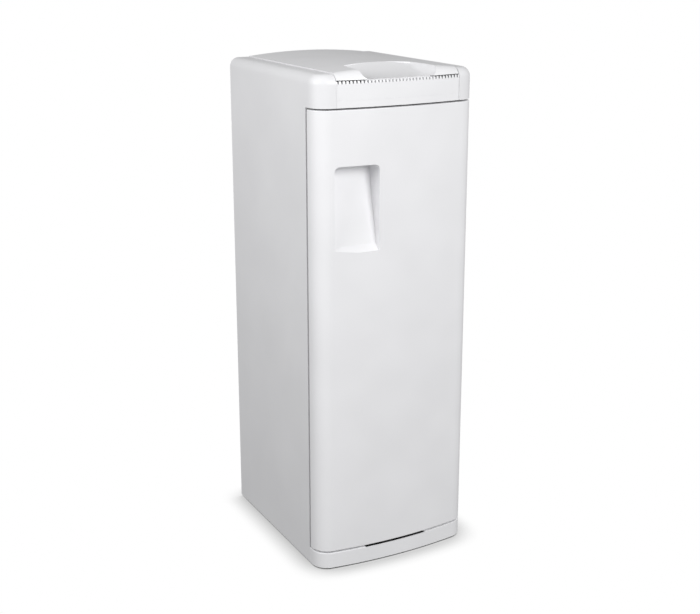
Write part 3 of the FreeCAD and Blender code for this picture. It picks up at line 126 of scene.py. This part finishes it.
def add(tree, kind, settings=None, **inputs):
    """Adds a node, sets its properties, and fills its inputs with values or links them to sockets."""
    made = tree.nodes.new(kind)
    for name, value in (settings or {}).items():
        setattr(made, name, value)
    for name, value in inputs.items():
        key = int(name[1:]) if name[0] == "_" and name[1:].isdigit() else name.replace("_", " ")
        if isinstance(value, bpy.types.NodeSocket):
            tree.links.new(value, made.inputs[key])
        else:
            made.inputs[key].default_value = value
    return made


def start(name, base, roughness, metallic=0.0, ior=None, **extra):
    """A new Principled material. Returns the material, its tree, its shader and object coordinates."""
    material = bpy.data.materials.new(name)
    material.use_nodes = True
    tree = material.node_tree
    tree.nodes.clear()
    shader = add(tree, "ShaderNodeBsdfPrincipled")
    shader.inputs["Base Color"].default_value = linear(base)
    shader.inputs["Roughness"].default_value = roughness
    shader.inputs["Metallic"].default_value = metallic
    if ior:
        shader.inputs["IOR"].default_value = ior
    for socket, value in extra.items():
        shader.inputs[socket.replace("_", " ")].default_value = value
    add(tree, "ShaderNodeOutputMaterial", Surface=shader.outputs[0])
    coords = add(tree, "ShaderNodeTexCoord").outputs["Object"]
    material.diffuse_color = linear(base)
    return material, tree, shader, coords


def grain(tree, coords, size, detail=2.0, stretch=(1, 1, 1)):
    """Noise whose features are about size metres across, optionally stretched. Returns its 0 to 1 value."""
    placed = add(tree, "ShaderNodeMapping", Vector=coords, Scale=stretch).outputs[0]
    noise = add(tree, "ShaderNodeTexNoise", Vector=placed, Scale=1 / size, Detail=detail)
    return noise.outputs["Fac"]


def tint(tree, shader, factor, first, second, low=0.3, high=0.7):
    """Runs the shader's colour from first to second as factor goes from low to high."""
    ramp = add(tree, "ShaderNodeValToRGB", Fac=factor)
    ramp.color_ramp.elements[0].position = low
    ramp.color_ramp.elements[0].color = linear(first)
    ramp.color_ramp.elements[1].position = high
    ramp.color_ramp.elements[1].color = linear(second)
    tree.links.new(ramp.outputs["Color"], shader.inputs["Base Color"])


def gloss(tree, shader, factor, low, high):
    """Runs the shader's roughness from low to high with factor."""
    value = add(tree, "ShaderNodeMapRange", Value=factor, To_Min=low, To_Max=high).outputs[0]
    tree.links.new(value, shader.inputs["Roughness"])


def relief(tree, shader, height, depth, strength=1.0):
    """Bumps the shader's surface by height, depth metres from low to high."""
    bump = add(tree, "ShaderNodeBump", Height=height, Distance=depth, Strength=strength)
    tree.links.new(bump.outputs[0], shader.inputs["Normal"])


# ---------------------------------------------------------------- finishes
def powder_coated_steel():
    """Folded sheet steel with a white powder coat: satin, with the faint orange peel of baked powder."""
    material, tree, shader, coords = start("powder_coated_sheet_steel", "#E8E8EA", 0.42, ior=1.5)
    peel = grain(tree, coords, 1.8 * MM, 1.0)
    clouds = grain(tree, coords, 140 * MM, 3.0)
    tint(tree, shader, clouds, "#E6E6E8", "#EBEBED")
    gloss(tree, shader, clouds, 0.38, 0.47)
    relief(tree, shader, peel, 0.02 * MM, 0.5)
    return material


def moulded_gloss_plastic():
    """Injection-moulded white ABS: semi-gloss, with a fine spark-eroded grain and slow sink-mark waves."""
    material, tree, shader, coords = start("moulded_white_abs", "#EFEFF1", 0.34, ior=1.53)
    fine = grain(tree, coords, 0.9 * MM, 1.0)
    sink = grain(tree, coords, 90 * MM, 1.0)
    both = add(tree, "ShaderNodeMath", {"operation": "MULTIPLY_ADD"}, _0=sink, _1=4.0, _2=fine).outputs[0]
    tint(tree, shader, sink, "#EDEDEF", "#F1F1F3")
    gloss(tree, shader, fine, 0.31, 0.38)
    relief(tree, shader, both, 0.012 * MM, 0.5)
    return material


def moulded_matt_plastic():
    """Vacuum-formed inner skins: matt off-white polystyrene with a leather-fine grain."""
    material, tree, shader, coords = start("formed_white_polystyrene", "#DDDEE0", 0.55, ior=1.55)
    cells = add(tree, "ShaderNodeTexVoronoi", Vector=coords, Scale=1 / (1.4 * MM)).outputs["Distance"]
    tint(tree, shader, grain(tree, coords, 60 * MM), "#DBDCDE", "#DFE0E2")
    relief(tree, shader, cells, 0.05 * MM, 0.5)
    return material


def coated_rear_steel():
    """Thin pre-coated sheet for the back and the front frame: flatter and a little greyer than the casing."""
    material, tree, shader, coords = start("precoated_sheet_steel", "#D3D3CF", 0.5, ior=1.5)
    tint(tree, shader, grain(tree, coords, 35 * MM, 4.0), "#D1D1CD", "#D5D5D1")
    relief(tree, shader, grain(tree, coords, 1.2 * MM, 1.0), 0.02 * MM, 0.5)
    return material


def zinc_plated_steel():
    """Hot-dip galvanised sheet: angular grey spangle a centimetre across, each grain with its own gloss."""
    material, tree, shader, coords = start("galvanised_sheet_steel", "#A9ADB0", 0.4, metallic=1.0)
    spangle = add(tree, "ShaderNodeTexVoronoi", Vector=coords, Scale=1 / (11 * MM))
    shade = add(tree, "ShaderNodeSeparateColor", Color=spangle.outputs["Color"]).outputs[0]
    tint(tree, shader, shade, "#A1A5A8", "#B1B5B8", 0.0, 1.0)
    gloss(tree, shader, shade, 0.36, 0.46)
    relief(tree, shader, grain(tree, coords, 2 * MM, 3.0), 0.01 * MM, 0.4)
    return material


def turned_steel():
    """Lathe-turned bright steel: fine rings along the rod, a little coarser than real so that they show."""
    material, tree, shader, coords = start("turned_bright_steel", "#A4A7AA", 0.24, metallic=1.0)
    rings = grain(tree, coords, 1.0 * MM, 3.0, (0.05, 0.05, 1))
    gloss(tree, shader, rings, 0.18, 0.36)
    tint(tree, shader, rings, "#9A9DA1", "#B2B5B7")
    relief(tree, shader, rings, 0.008 * MM, 0.6)
    return material


def brushed_plate():
    """Stainless press face: long brush lines along X and a haze of scratches from use."""
    material, tree, shader, coords = start("brushed_stainless_plate", "#A8AAAB", 0.32, metallic=1.0)
    lines = grain(tree, coords, 0.8 * MM, 2.0, (0.02, 1, 1))
    scuffs = grain(tree, coords, 18 * MM, 5.0, (0.3, 1, 1))
    tint(tree, shader, scuffs, "#989A9C", "#B5B7B8")
    gloss(tree, shader, lines, 0.26, 0.46)
    relief(tree, shader, lines, 0.01 * MM, 0.6)
    return material


def soft_grey_seal():
    """Extruded soft vinyl gasket: matt grey, faintly dusty along its length."""
    material, tree, shader, coords = start("extruded_soft_vinyl", "#9A9C9E", 0.62, ior=1.52)
    tint(tree, shader, grain(tree, coords, 9 * MM, 4.0), "#8F9194", "#A5A7A9")
    relief(tree, shader, grain(tree, coords, 0.7 * MM, 1.0), 0.02 * MM, 0.5)
    return material


def black_rubber():
    """Moulded black rubber: deep matt with a grey bloom."""
    material, tree, shader, coords = start("moulded_black_rubber", "#1C1C1D", 0.7, ior=1.52)
    tint(tree, shader, grain(tree, coords, 6 * MM, 5.0), "#161617", "#262627")
    relief(tree, shader, grain(tree, coords, 0.8 * MM, 2.0), 0.05 * MM, 0.6)
    return material


def bearing_nylon():
    """Machined natural nylon: waxy cream with faint tool marks."""
    material, tree, shader, coords = start("machined_natural_nylon", "#E3DDC9", 0.42, ior=1.53)
    marks = grain(tree, coords, 0.9 * MM, 2.0, (1, 1, 0.1))
    tint(tree, shader, grain(tree, coords, 14 * MM), "#DED7C1", "#E8E3D2")
    relief(tree, shader, marks, 0.01 * MM, 0.5)
    return material


def black_moulding():
    """Moulded black PBT of fans, sockets and collars: fine spark grain, low sheen."""
    material, tree, shader, coords = start("moulded_black_pbt", "#232325", 0.48, ior=1.57)
    gloss(tree, shader, grain(tree, coords, 12 * MM, 3.0), 0.42, 0.56)
    relief(tree, shader, grain(tree, coords, 0.8 * MM, 1.0), 0.03 * MM, 0.6)
    return material


def glass_filled_nylon():
    """Glass-filled nylon pulleys: charcoal with pale fibre flecks."""
    material, tree, shader, coords = start("glass_filled_nylon", "#3A3C3F", 0.52, ior=1.55)
    flecks = grain(tree, coords, 1.2 * MM, 2.0, (1, 0.25, 1))
    tint(tree, shader, flecks, "#333538", "#5B5D60", 0.5, 0.8)
    relief(tree, shader, flecks, 0.015 * MM, 0.5)
    return material


def button_plastic(name, dark, bright):
    """Polished acetal push button: even, glossy colour with fine handling scratches."""
    material, tree, shader, coords = start(name, bright, 0.22, ior=1.48)
    scratches = grain(tree, coords, 1.0 * MM, 4.0, (0.1, 1, 1))
    tint(tree, shader, grain(tree, coords, 8 * MM), dark, bright)
    gloss(tree, shader, scratches, 0.17, 0.3)
    return material


def polished_chrome():
    """Chromed zinc key: mirror bright with finger haze."""
    material, tree, shader, coords = start("polished_chrome", "#C9CBCC", 0.09, metallic=1.0)
    gloss(tree, shader, grain(tree, coords, 5 * MM, 4.0), 0.05, 0.17)
    return material


def clear_lens():
    """Moulded clear polycarbonate over a green lamp: glossy, slightly milky."""
    material, tree, shader, coords = start("clear_polycarbonate_lens", "#BFD8BE", 0.12, ior=1.58,
                                           Transmission_Weight=0.6)
    gloss(tree, shader, grain(tree, coords, 1.5 * MM), 0.08, 0.2)
    return material


def filter_frame():
    """Moulded grey polypropylene filter frame: waxy, low sheen."""
    material, tree, shader, coords = start("moulded_grey_polypropylene", "#505357", 0.5, ior=1.49)
    tint(tree, shader, grain(tree, coords, 20 * MM, 3.0), "#4A4D51", "#585B5F")
    relief(tree, shader, grain(tree, coords, 1.0 * MM, 1.0), 0.02 * MM, 0.5)
    return material


def charcoal_foam():
    """Activated charcoal in open foam: near black, pitted every couple of millimetres, with painted shade
    darkening each pit.
    """
    material, tree, shader, coords = start("activated_charcoal_foam", "#171717", 0.9, ior=1.5)
    cells = add(tree, "ShaderNodeTexVoronoi", Vector=coords, Scale=1 / (2.2 * MM)).outputs["Distance"]
    # painted shade: the colour is darkest where the bump sinks the pits
    tint(tree, shader, cells, "#0D0D0D", "#2E2E2E", 0.0, 0.6)
    relief(tree, shader, cells, 0.8 * MM, 1.0)
    return material


def circuit_laminate():
    """Green solder-masked glass epoxy: copper runs show as a slightly lighter, raised maze."""
    material, tree, shader, coords = start("solder_masked_laminate", "#14532E", 0.3, ior=1.55)
    runs = add(tree, "ShaderNodeTexBrick", {"offset": 0.37}, Vector=coords, Scale=1 / (6 * MM),
               Mortar_Size=0.09)
    tint(tree, shader, runs.outputs["Fac"], "#124A29", "#2A7A48", 0.4, 0.6)
    relief(tree, shader, runs.outputs["Fac"], 0.05 * MM, 0.6)
    return material


def cast_aluminium():
    """Die-cast aluminium gear case: pale grey with flow marks and fine pitting."""
    material, tree, shader, coords = start("die_cast_aluminium", "#B4B6B8", 0.45, metallic=1.0)
    flow = grain(tree, coords, 16 * MM, 5.0)
    tint(tree, shader, flow, "#A3A5A8", "#C1C3C4")
    relief(tree, shader, grain(tree, coords, 1.0 * MM, 4.0), 0.05 * MM, 0.6)
    return material


def enamelled_motor():
    """Spray-enamelled motor can: dark grey semi-gloss with slight runs."""
    material, tree, shader, coords = start("sprayed_dark_enamel", "#3B3E42", 0.36, ior=1.5, Coat_Weight=0.2)
    tint(tree, shader, grain(tree, coords, 12 * MM, 3.0), "#363A3D", "#43464A")
    relief(tree, shader, grain(tree, coords, 1.5 * MM, 1.0, (1, 1, 0.5)), 0.03 * MM, 0.5)
    return material


def cast_bronze():
    """Cast and machined bronze nuts: warm, softly scored."""
    material, tree, shader, coords = start("machined_cast_bronze", "#B08A50", 0.34, metallic=1.0)
    tint(tree, shader, grain(tree, coords, 7 * MM, 4.0), "#98753F", "#C29A5E")
    relief(tree, shader, grain(tree, coords, 0.9 * MM, 2.0, (1, 1, 0.1)), 0.01 * MM, 0.6)
    return material


def bin_polypropylene():
    """Moulded slate polypropylene bin: waxy, scuffed along its walls by sacks sliding in and out."""
    material, tree, shader, coords = start("moulded_slate_polypropylene", "#6E757C", 0.46, ior=1.49)
    scuffs = grain(tree, coords, 5 * MM, 5.0, (1, 1, 0.12))
    tint(tree, shader, scuffs, "#686F76", "#7B8289", 0.45, 0.75)
    gloss(tree, shader, scuffs, 0.4, 0.56)
    relief(tree, shader, grain(tree, coords, 1.1 * MM, 1.0), 0.02 * MM, 0.5)
    return material


FINISHES = {
    "casing_white": powder_coated_steel,
    "front_white": moulded_gloss_plastic,
    "liner_white": moulded_matt_plastic,
    "rear_steel": coated_rear_steel,
    "bare_steel": zinc_plated_steel,
    "turned_steel": turned_steel,
    "press_face": brushed_plate,
    "seal_grey": soft_grey_seal,
    "black_rubber": black_rubber,
    "bush_plastic": bearing_nylon,
    "black_plastic": black_moulding,
    "pulley_plastic": glass_filled_nylon,
    "start_green": lambda: button_plastic("polished_green_acetal", "#1F6E3C", "#2A8049"),
    "stop_red": lambda: button_plastic("polished_red_acetal", "#A31F1B", "#BB2B26"),
    "key_metal": polished_chrome,
    "lens_clear": clear_lens,
    "filter_frame": filter_frame,
    "board_green": circuit_laminate,
    "gear_case": cast_aluminium,
    "motor_can": enamelled_motor,
    "nut_bronze": cast_bronze,
    "bin_grey": bin_polypropylene,
}
MADE = {}


# ---------------------------------------------------------------- piece helpers
def paint(obj, slot):
    """Gives an object the one material of a slot, which is made when it is first needed."""
    if slot not in MADE:
        MADE[slot] = FINISHES[slot]()
    obj.data.materials.clear()
    obj.data.materials.append(MADE[slot])


def piece(name, mesh, node, slot, smooth=True):
    """Turns a bmesh into a named piece that rides with a mechanical node and takes a slot's finish."""
    bmesh.ops.remove_doubles(mesh, verts=mesh.verts, dist=1e-6)
    bmesh.ops.recalc_face_normals(mesh, faces=mesh.faces)
    data = bpy.data.meshes.new(name)
    mesh.to_mesh(data)
    mesh.free()
    for face in data.polygons:
        face.use_smooth = smooth
    obj = bpy.data.objects.new(name, data)
    bpy.context.scene.collection.objects.link(obj)
    paint(obj, slot)
    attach(obj, BODY_OF[node])
    return obj


def sharpen(obj, degrees=35.0):
    """Splits the shading at edges sharper than an angle."""
    limit = math.radians(degrees)
    mesh = bmesh.new()
    mesh.from_mesh(obj.data)
    for edge in mesh.edges:
        edge.smooth = len(edge.link_faces) == 2 and edge.calc_face_angle() < limit
    mesh.to_mesh(obj.data)
    mesh.free()


def only(kind, geometry):
    """The vertices or the edges among what a bmesh operator returns."""
    return [item for item in geometry if isinstance(item, kind)]


def gasket(width, length, strip, thick, corner):
    """Closed gasket round a rectangle centred on the origin, lying flat: two lobes with a valley between."""
    half_x, half_y = (width - strip) / 2, (length - strip) / 2
    mesh = bmesh.new()
    ring = bmesh.ops.create_circle(mesh, segments=GASKET_SIDES, radius=1.0)["verts"]
    for vert in ring:
        across, up = vert.co.x, vert.co.y
        waist = 1.0 - GASKET_WAIST * math.exp(-((across / GASKET_VALLEY) ** 2))
        vert.co = Vector((half_x + across * strip / 2, corner - half_y, up * waist * thick / 2))
    edges = list(mesh.edges)
    bend_x, bend_y = half_x - corner, half_y - corner
    runs = ((0, 2 * bend_y), (-2 * bend_x, 0), (0, -2 * bend_y), (2 * bend_x, 0))
    pivots = ((1, 1), (-1, 1), (-1, -1), (1, -1))
    for (run_x, run_y), (side_x, side_y) in zip(runs, pivots):
        made = bmesh.ops.extrude_edge_only(mesh, edges=edges)["geom"]
        bmesh.ops.translate(mesh, verts=only(bmesh.types.BMVert, made), vec=(run_x, run_y, 0))
        edges = [e for e in only(bmesh.types.BMEdge, made) if all(v in made for v in e.verts)]
        last = bmesh.ops.spin(mesh, geom=edges, cent=(side_x * bend_x, side_y * bend_y, 0), axis=(0, 0, 1),
                              dvec=(0, 0, 0), angle=math.pi / 2, steps=GASKET_BEND_STEPS, use_merge=False,
                              use_duplicate=False)["geom_last"]
        edges = only(bmesh.types.BMEdge, last)
    return mesh


# ---------------------------------------------------------------- operators
class CompactorSettings(bpy.types.PropertyGroup):
    """Sizes and colours a user may change."""

    backdrop: bpy.props.FloatVectorProperty(
        name="Backdrop", description="Colour of the floor and the paper behind the machine", subtype="COLOR",
        size=3, min=0.0, max=1.0, default=(1.0, 1.0, 1.0))
    studio_light: bpy.props.FloatProperty(
        name="Studio light", description="Scales every studio light", default=1.0, min=0.0, max=10.0,
        subtype="FACTOR")
    thread_starts: bpy.props.IntProperty(
        name="Thread starts", description="Threads side by side on each power screw", default=3, min=1, max=4)
    thread_depth: bpy.props.FloatProperty(
        name="Thread depth", description="Crest to root of the power screws' thread", default=1.3 * MM,
        min=0.2 * MM, max=3 * MM, unit="LENGTH")
    gasket_corner: bpy.props.FloatProperty(
        name="Gasket corner", description="Bend of the gaskets at their corners", default=14 * MM, min=6 * MM,
        unit="LENGTH")


class COMPACTOR_OT_finishes(bpy.types.Operator):
    """Give every mechanical part the finish of its slot"""

    bl_idname = "compactor.finishes"
    bl_label = "Finishes"

    def execute(self, context):
        for node, obj in frame["nodes"].items():
            paint(obj, SLOT_OF[node])
        return {"FINISHED"}


class COMPACTOR_OT_gaskets(bpy.types.Operator):
    """Fit the door's and the lid's bulb gaskets"""

    bl_idname = "compactor.gaskets"
    bl_label = "Gaskets"

    def execute(self, context):
        corner = context.scene.compactor.gasket_corner
        low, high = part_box("door_seal")
        size = high - low
        mesh = gasket(size.x, size.z, DOOR_GASKET_W, size.y, corner)
        upright = Matrix.Rotation(math.pi / 2, 3, "X")
        bmesh.ops.rotate(mesh, verts=mesh.verts, cent=(0, 0, 0), matrix=upright)
        bmesh.ops.translate(mesh, verts=mesh.verts, vec=(low + high) / 2)
        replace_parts(piece("door_gasket", mesh, "door_seal", "seal_grey"), "door_seal")
        low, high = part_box("lid_seal")
        size = high - low
        mesh = gasket(size.x, size.y, LID_GASKET_W, size.z, corner)
        bmesh.ops.translate(mesh, verts=mesh.verts, vec=(low + high) / 2)
        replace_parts(piece("lid_gasket", mesh, "lid_seal", "seal_grey"), "lid_seal")
        return {"FINISHED"}


class COMPACTOR_OT_power_screws(bpy.types.Operator):
    """Cut the multi-start thread of the two power screws"""

    bl_idname = "compactor.power_screws"
    bl_label = "Power screws"

    def execute(self, context):
        settings = context.scene.compactor
        for node in ("power_screw_left", "power_screw_right"):
            low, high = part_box(node)
            x = (low.x + high.x) / 2
            mesh = bmesh.new()
            foot = THREAD_FOOT_Z
            turns = int((high.z - THREAD_HEAD - foot) / LEAD)
            pitch = LEAD / settings.thread_starts
            crest, root = SCREW_R, SCREW_R - settings.thread_depth
            profile = []
            for i in range(settings.thread_starts):
                z = foot + i * pitch
                for share, raised in THREAD_PROFILE:
                    profile.append((crest if raised else root, z + share * pitch))
            profile.append((root, foot + LEAD))
            verts = [mesh.verts.new((x + r, 0, z)) for r, z in profile]
            edges = [mesh.edges.new(pair) for pair in zip(verts, verts[1:])]
            bmesh.ops.spin(mesh, geom=verts + edges, cent=(x, 0, 0), axis=(0, 0, 1),
                           dvec=(0, 0, LEAD / THREAD_STEPS), angle=FULL_TURN, steps=THREAD_STEPS,
                           use_merge=False, use_duplicate=False)
            one_turn = mesh.verts[:] + mesh.edges[:] + mesh.faces[:]
            for i in range(1, turns):
                copied = bmesh.ops.duplicate(mesh, geom=one_turn)["geom"]
                bmesh.ops.translate(mesh, verts=only(bmesh.types.BMVert, copied), vec=(0, 0, i * LEAD))
            bmesh.ops.remove_doubles(mesh, verts=mesh.verts, dist=1e-5)
            ends = foot + LEAD * (turns + 1)
            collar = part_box("lower_beam")[1].z
            for z0, z1, radius in (
                (low.z, foot + ROD_INSIDE, SCREW_R),
                (ends - ROD_INSIDE, high.z, SCREW_R),
                (collar + COLLAR_LIFT, collar + COLLAR_LIFT + COLLAR_H, (high.x - low.x) / 2),
            ):
                edge = min(ROD_CHAMFER, (z1 - z0) / 4)
                outline = [(0, z0), (radius - edge, z0), (radius, z0 + edge),
                           (radius, z1 - edge), (radius - edge, z1), (0, z1)]
                ring = [mesh.verts.new((x + r, 0, z)) for r, z in outline]
                lines = [mesh.edges.new(pair) for pair in zip(ring, ring[1:])]
                bmesh.ops.spin(mesh, geom=ring + lines, cent=(x, 0, 0), axis=(0, 0, 1), dvec=(0, 0, 0),
                               angle=FULL_TURN, steps=THREAD_STEPS * 2, use_merge=True, use_duplicate=False)
            screw = piece(node.replace("power", "threaded"), mesh, node, "turned_steel")
            sharpen(screw)
            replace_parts(screw, node)
        return {"FINISHED"}


class COMPACTOR_OT_filter(bpy.types.Operator):
    """Fill the filter cassette with pleated charcoal"""

    bl_idname = "compactor.filter"
    bl_label = "Filter"

    def execute(self, context):
        low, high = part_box("filter_cassette")
        top = high.z - PLEATS_UNDER_TOP
        middle = (low + high) / 2
        mesh = bmesh.new()
        line = []
        for i in range(int(2 * PLEATS_HALF_X / PLEAT) + 1):
            x = middle.x - PLEATS_HALF_X + i * PLEAT
            line.append(mesh.verts.new((x, middle.y - PLEATS_HALF_Y, top - PLEAT_DROPS[i % 2])))
        edges = [mesh.edges.new(pair) for pair in zip(line, line[1:])]
        made = bmesh.ops.extrude_edge_only(mesh, edges=edges)["geom"]
        bmesh.ops.translate(mesh, verts=only(bmesh.types.BMVert, made), vec=(0, 2 * PLEATS_HALF_Y, 0))
        bmesh.ops.solidify(mesh, geom=mesh.faces[:], thickness=PLEAT_T)
        media = piece("filter_pleats", mesh, "filter_cassette", "filter_frame", smooth=False)
        media.data.materials[0] = charcoal_foam()
        return {"FINISHED"}


class COMPACTOR_OT_stage(bpy.types.Operator):
    """Add the floor, the soft lights and the camera"""

    bl_idname = "compactor.stage"
    bl_label = "Stage"

    def execute(self, context):
        settings = context.scene.compactor
        scene = context.scene
        paper = (*settings.backdrop, 1.0)

        mesh = bmesh.new()
        bmesh.ops.create_grid(mesh, x_segments=1, y_segments=1, size=FLOOR_HALF)
        data = bpy.data.meshes.new("floor")
        mesh.to_mesh(data)
        mesh.free()
        floor = bpy.data.objects.new("floor", data)
        scene.collection.objects.link(floor)
        material = bpy.data.materials.new("pale_paper_floor")
        material.use_nodes = True
        tree = material.node_tree
        tree.nodes.clear()
        # the floor only glows and takes no shadows: its contact shadow and the dark under the machine are
        # painted shadow, computed from ambient occlusion
        shades = []
        for reach, hidden, clear, darkest in FLOOR_SHADES:
            opening = add(tree, "ShaderNodeAmbientOcclusion", {"samples": 16}, Distance=reach).outputs["AO"]
            shades.append(add(tree, "ShaderNodeMapRange", Value=opening, From_Min=hidden, From_Max=clear,
                              To_Min=darkest, To_Max=1.0).outputs[0])
        light = add(tree, "ShaderNodeMath", {"operation": "MULTIPLY"}, _0=shades[0], _1=shades[1])
        glow = add(tree, "ShaderNodeEmission", Color=paper, Strength=light.outputs[0])
        add(tree, "ShaderNodeOutputMaterial", Surface=glow.outputs[0])
        floor.data.materials.append(material)
        floor.visible_diffuse = False
        floor.visible_glossy = False
        floor.visible_shadow = False

        world = bpy.data.worlds.new("studio")
        scene.world = world
        world.use_nodes = True
        tree = world.node_tree
        tree.nodes.clear()
        seen = add(tree, "ShaderNodeLightPath").outputs["Is Camera Ray"]
        room = add(tree, "ShaderNodeBackground", Color=(1, 1, 1, 1), Strength=ROOM_LIGHT)
        sheet = add(tree, "ShaderNodeBackground", Color=paper, Strength=1.0)
        mix = add(tree, "ShaderNodeMixShader", _0=seen, _1=room.outputs[0], _2=sheet.outputs[0])
        add(tree, "ShaderNodeOutputWorld", Surface=mix.outputs[0])

        for name, place, aim, size, power in LIGHTS:
            light = bpy.data.lights.new(name, "AREA")
            light.shape = "DISK"
            light.size = size
            light.energy = power * settings.studio_light
            lamp = bpy.data.objects.new(name, light)
            lamp.location = place
            lamp.rotation_euler = (Vector(aim) - Vector(place)).to_track_quat("-Z", "Y").to_euler()
            scene.collection.objects.link(lamp)

        lens = bpy.data.cameras.new("camera")
        lens.lens = LENS_MM
        lens.sensor_width = SENSOR_MM
        lens.shift_y = LENS_SHIFT
        lens.clip_end = FARTHEST
        camera = bpy.data.objects.new("camera", lens)
        camera.location = CAMERA_PLACE
        camera.rotation_euler = (math.pi / 2 - math.radians(CAMERA_PITCH), 0.0, -math.radians(CAMERA_YAW))
        scene.collection.objects.link(camera)
        scene.camera = camera
        scene.view_settings.view_transform = "Standard"
        return {"FINISHED"}


OPERATORS = (
    COMPACTOR_OT_finishes,
    COMPACTOR_OT_gaskets,
    COMPACTOR_OT_power_screws,
    COMPACTOR_OT_filter,
    COMPACTOR_OT_stage,
)


class COMPACTOR_PT_panel(bpy.types.Panel):
    """Sidebar panel that lists the operators"""

    bl_label = "Trash Compactor"
    bl_idname = "COMPACTOR_PT_panel"
    bl_space_type = "VIEW_3D"
    bl_region_type = "UI"
    bl_category = "Compactor"

    def draw(self, context):
        for name in CompactorSettings.__annotations__:
            self.layout.prop(context.scene.compactor, name)
        for operator in OPERATORS:
            self.layout.operator(operator.bl_idname)


CLASSES = (CompactorSettings, *OPERATORS, COMPACTOR_PT_panel)


def register():
    for cls in CLASSES:
        bpy.utils.register_class(cls)
    bpy.types.Scene.compactor = bpy.props.PointerProperty(type=CompactorSettings)


def unregister():
    del bpy.types.Scene.compactor
    for cls in reversed(CLASSES):
        bpy.utils.unregister_class(cls)


def main():
    register()
    for operator in OPERATORS:
        group, name = operator.bl_idname.split(".")
        getattr(getattr(bpy.ops, group), name)()


if __name__ == "__main__":
    main()
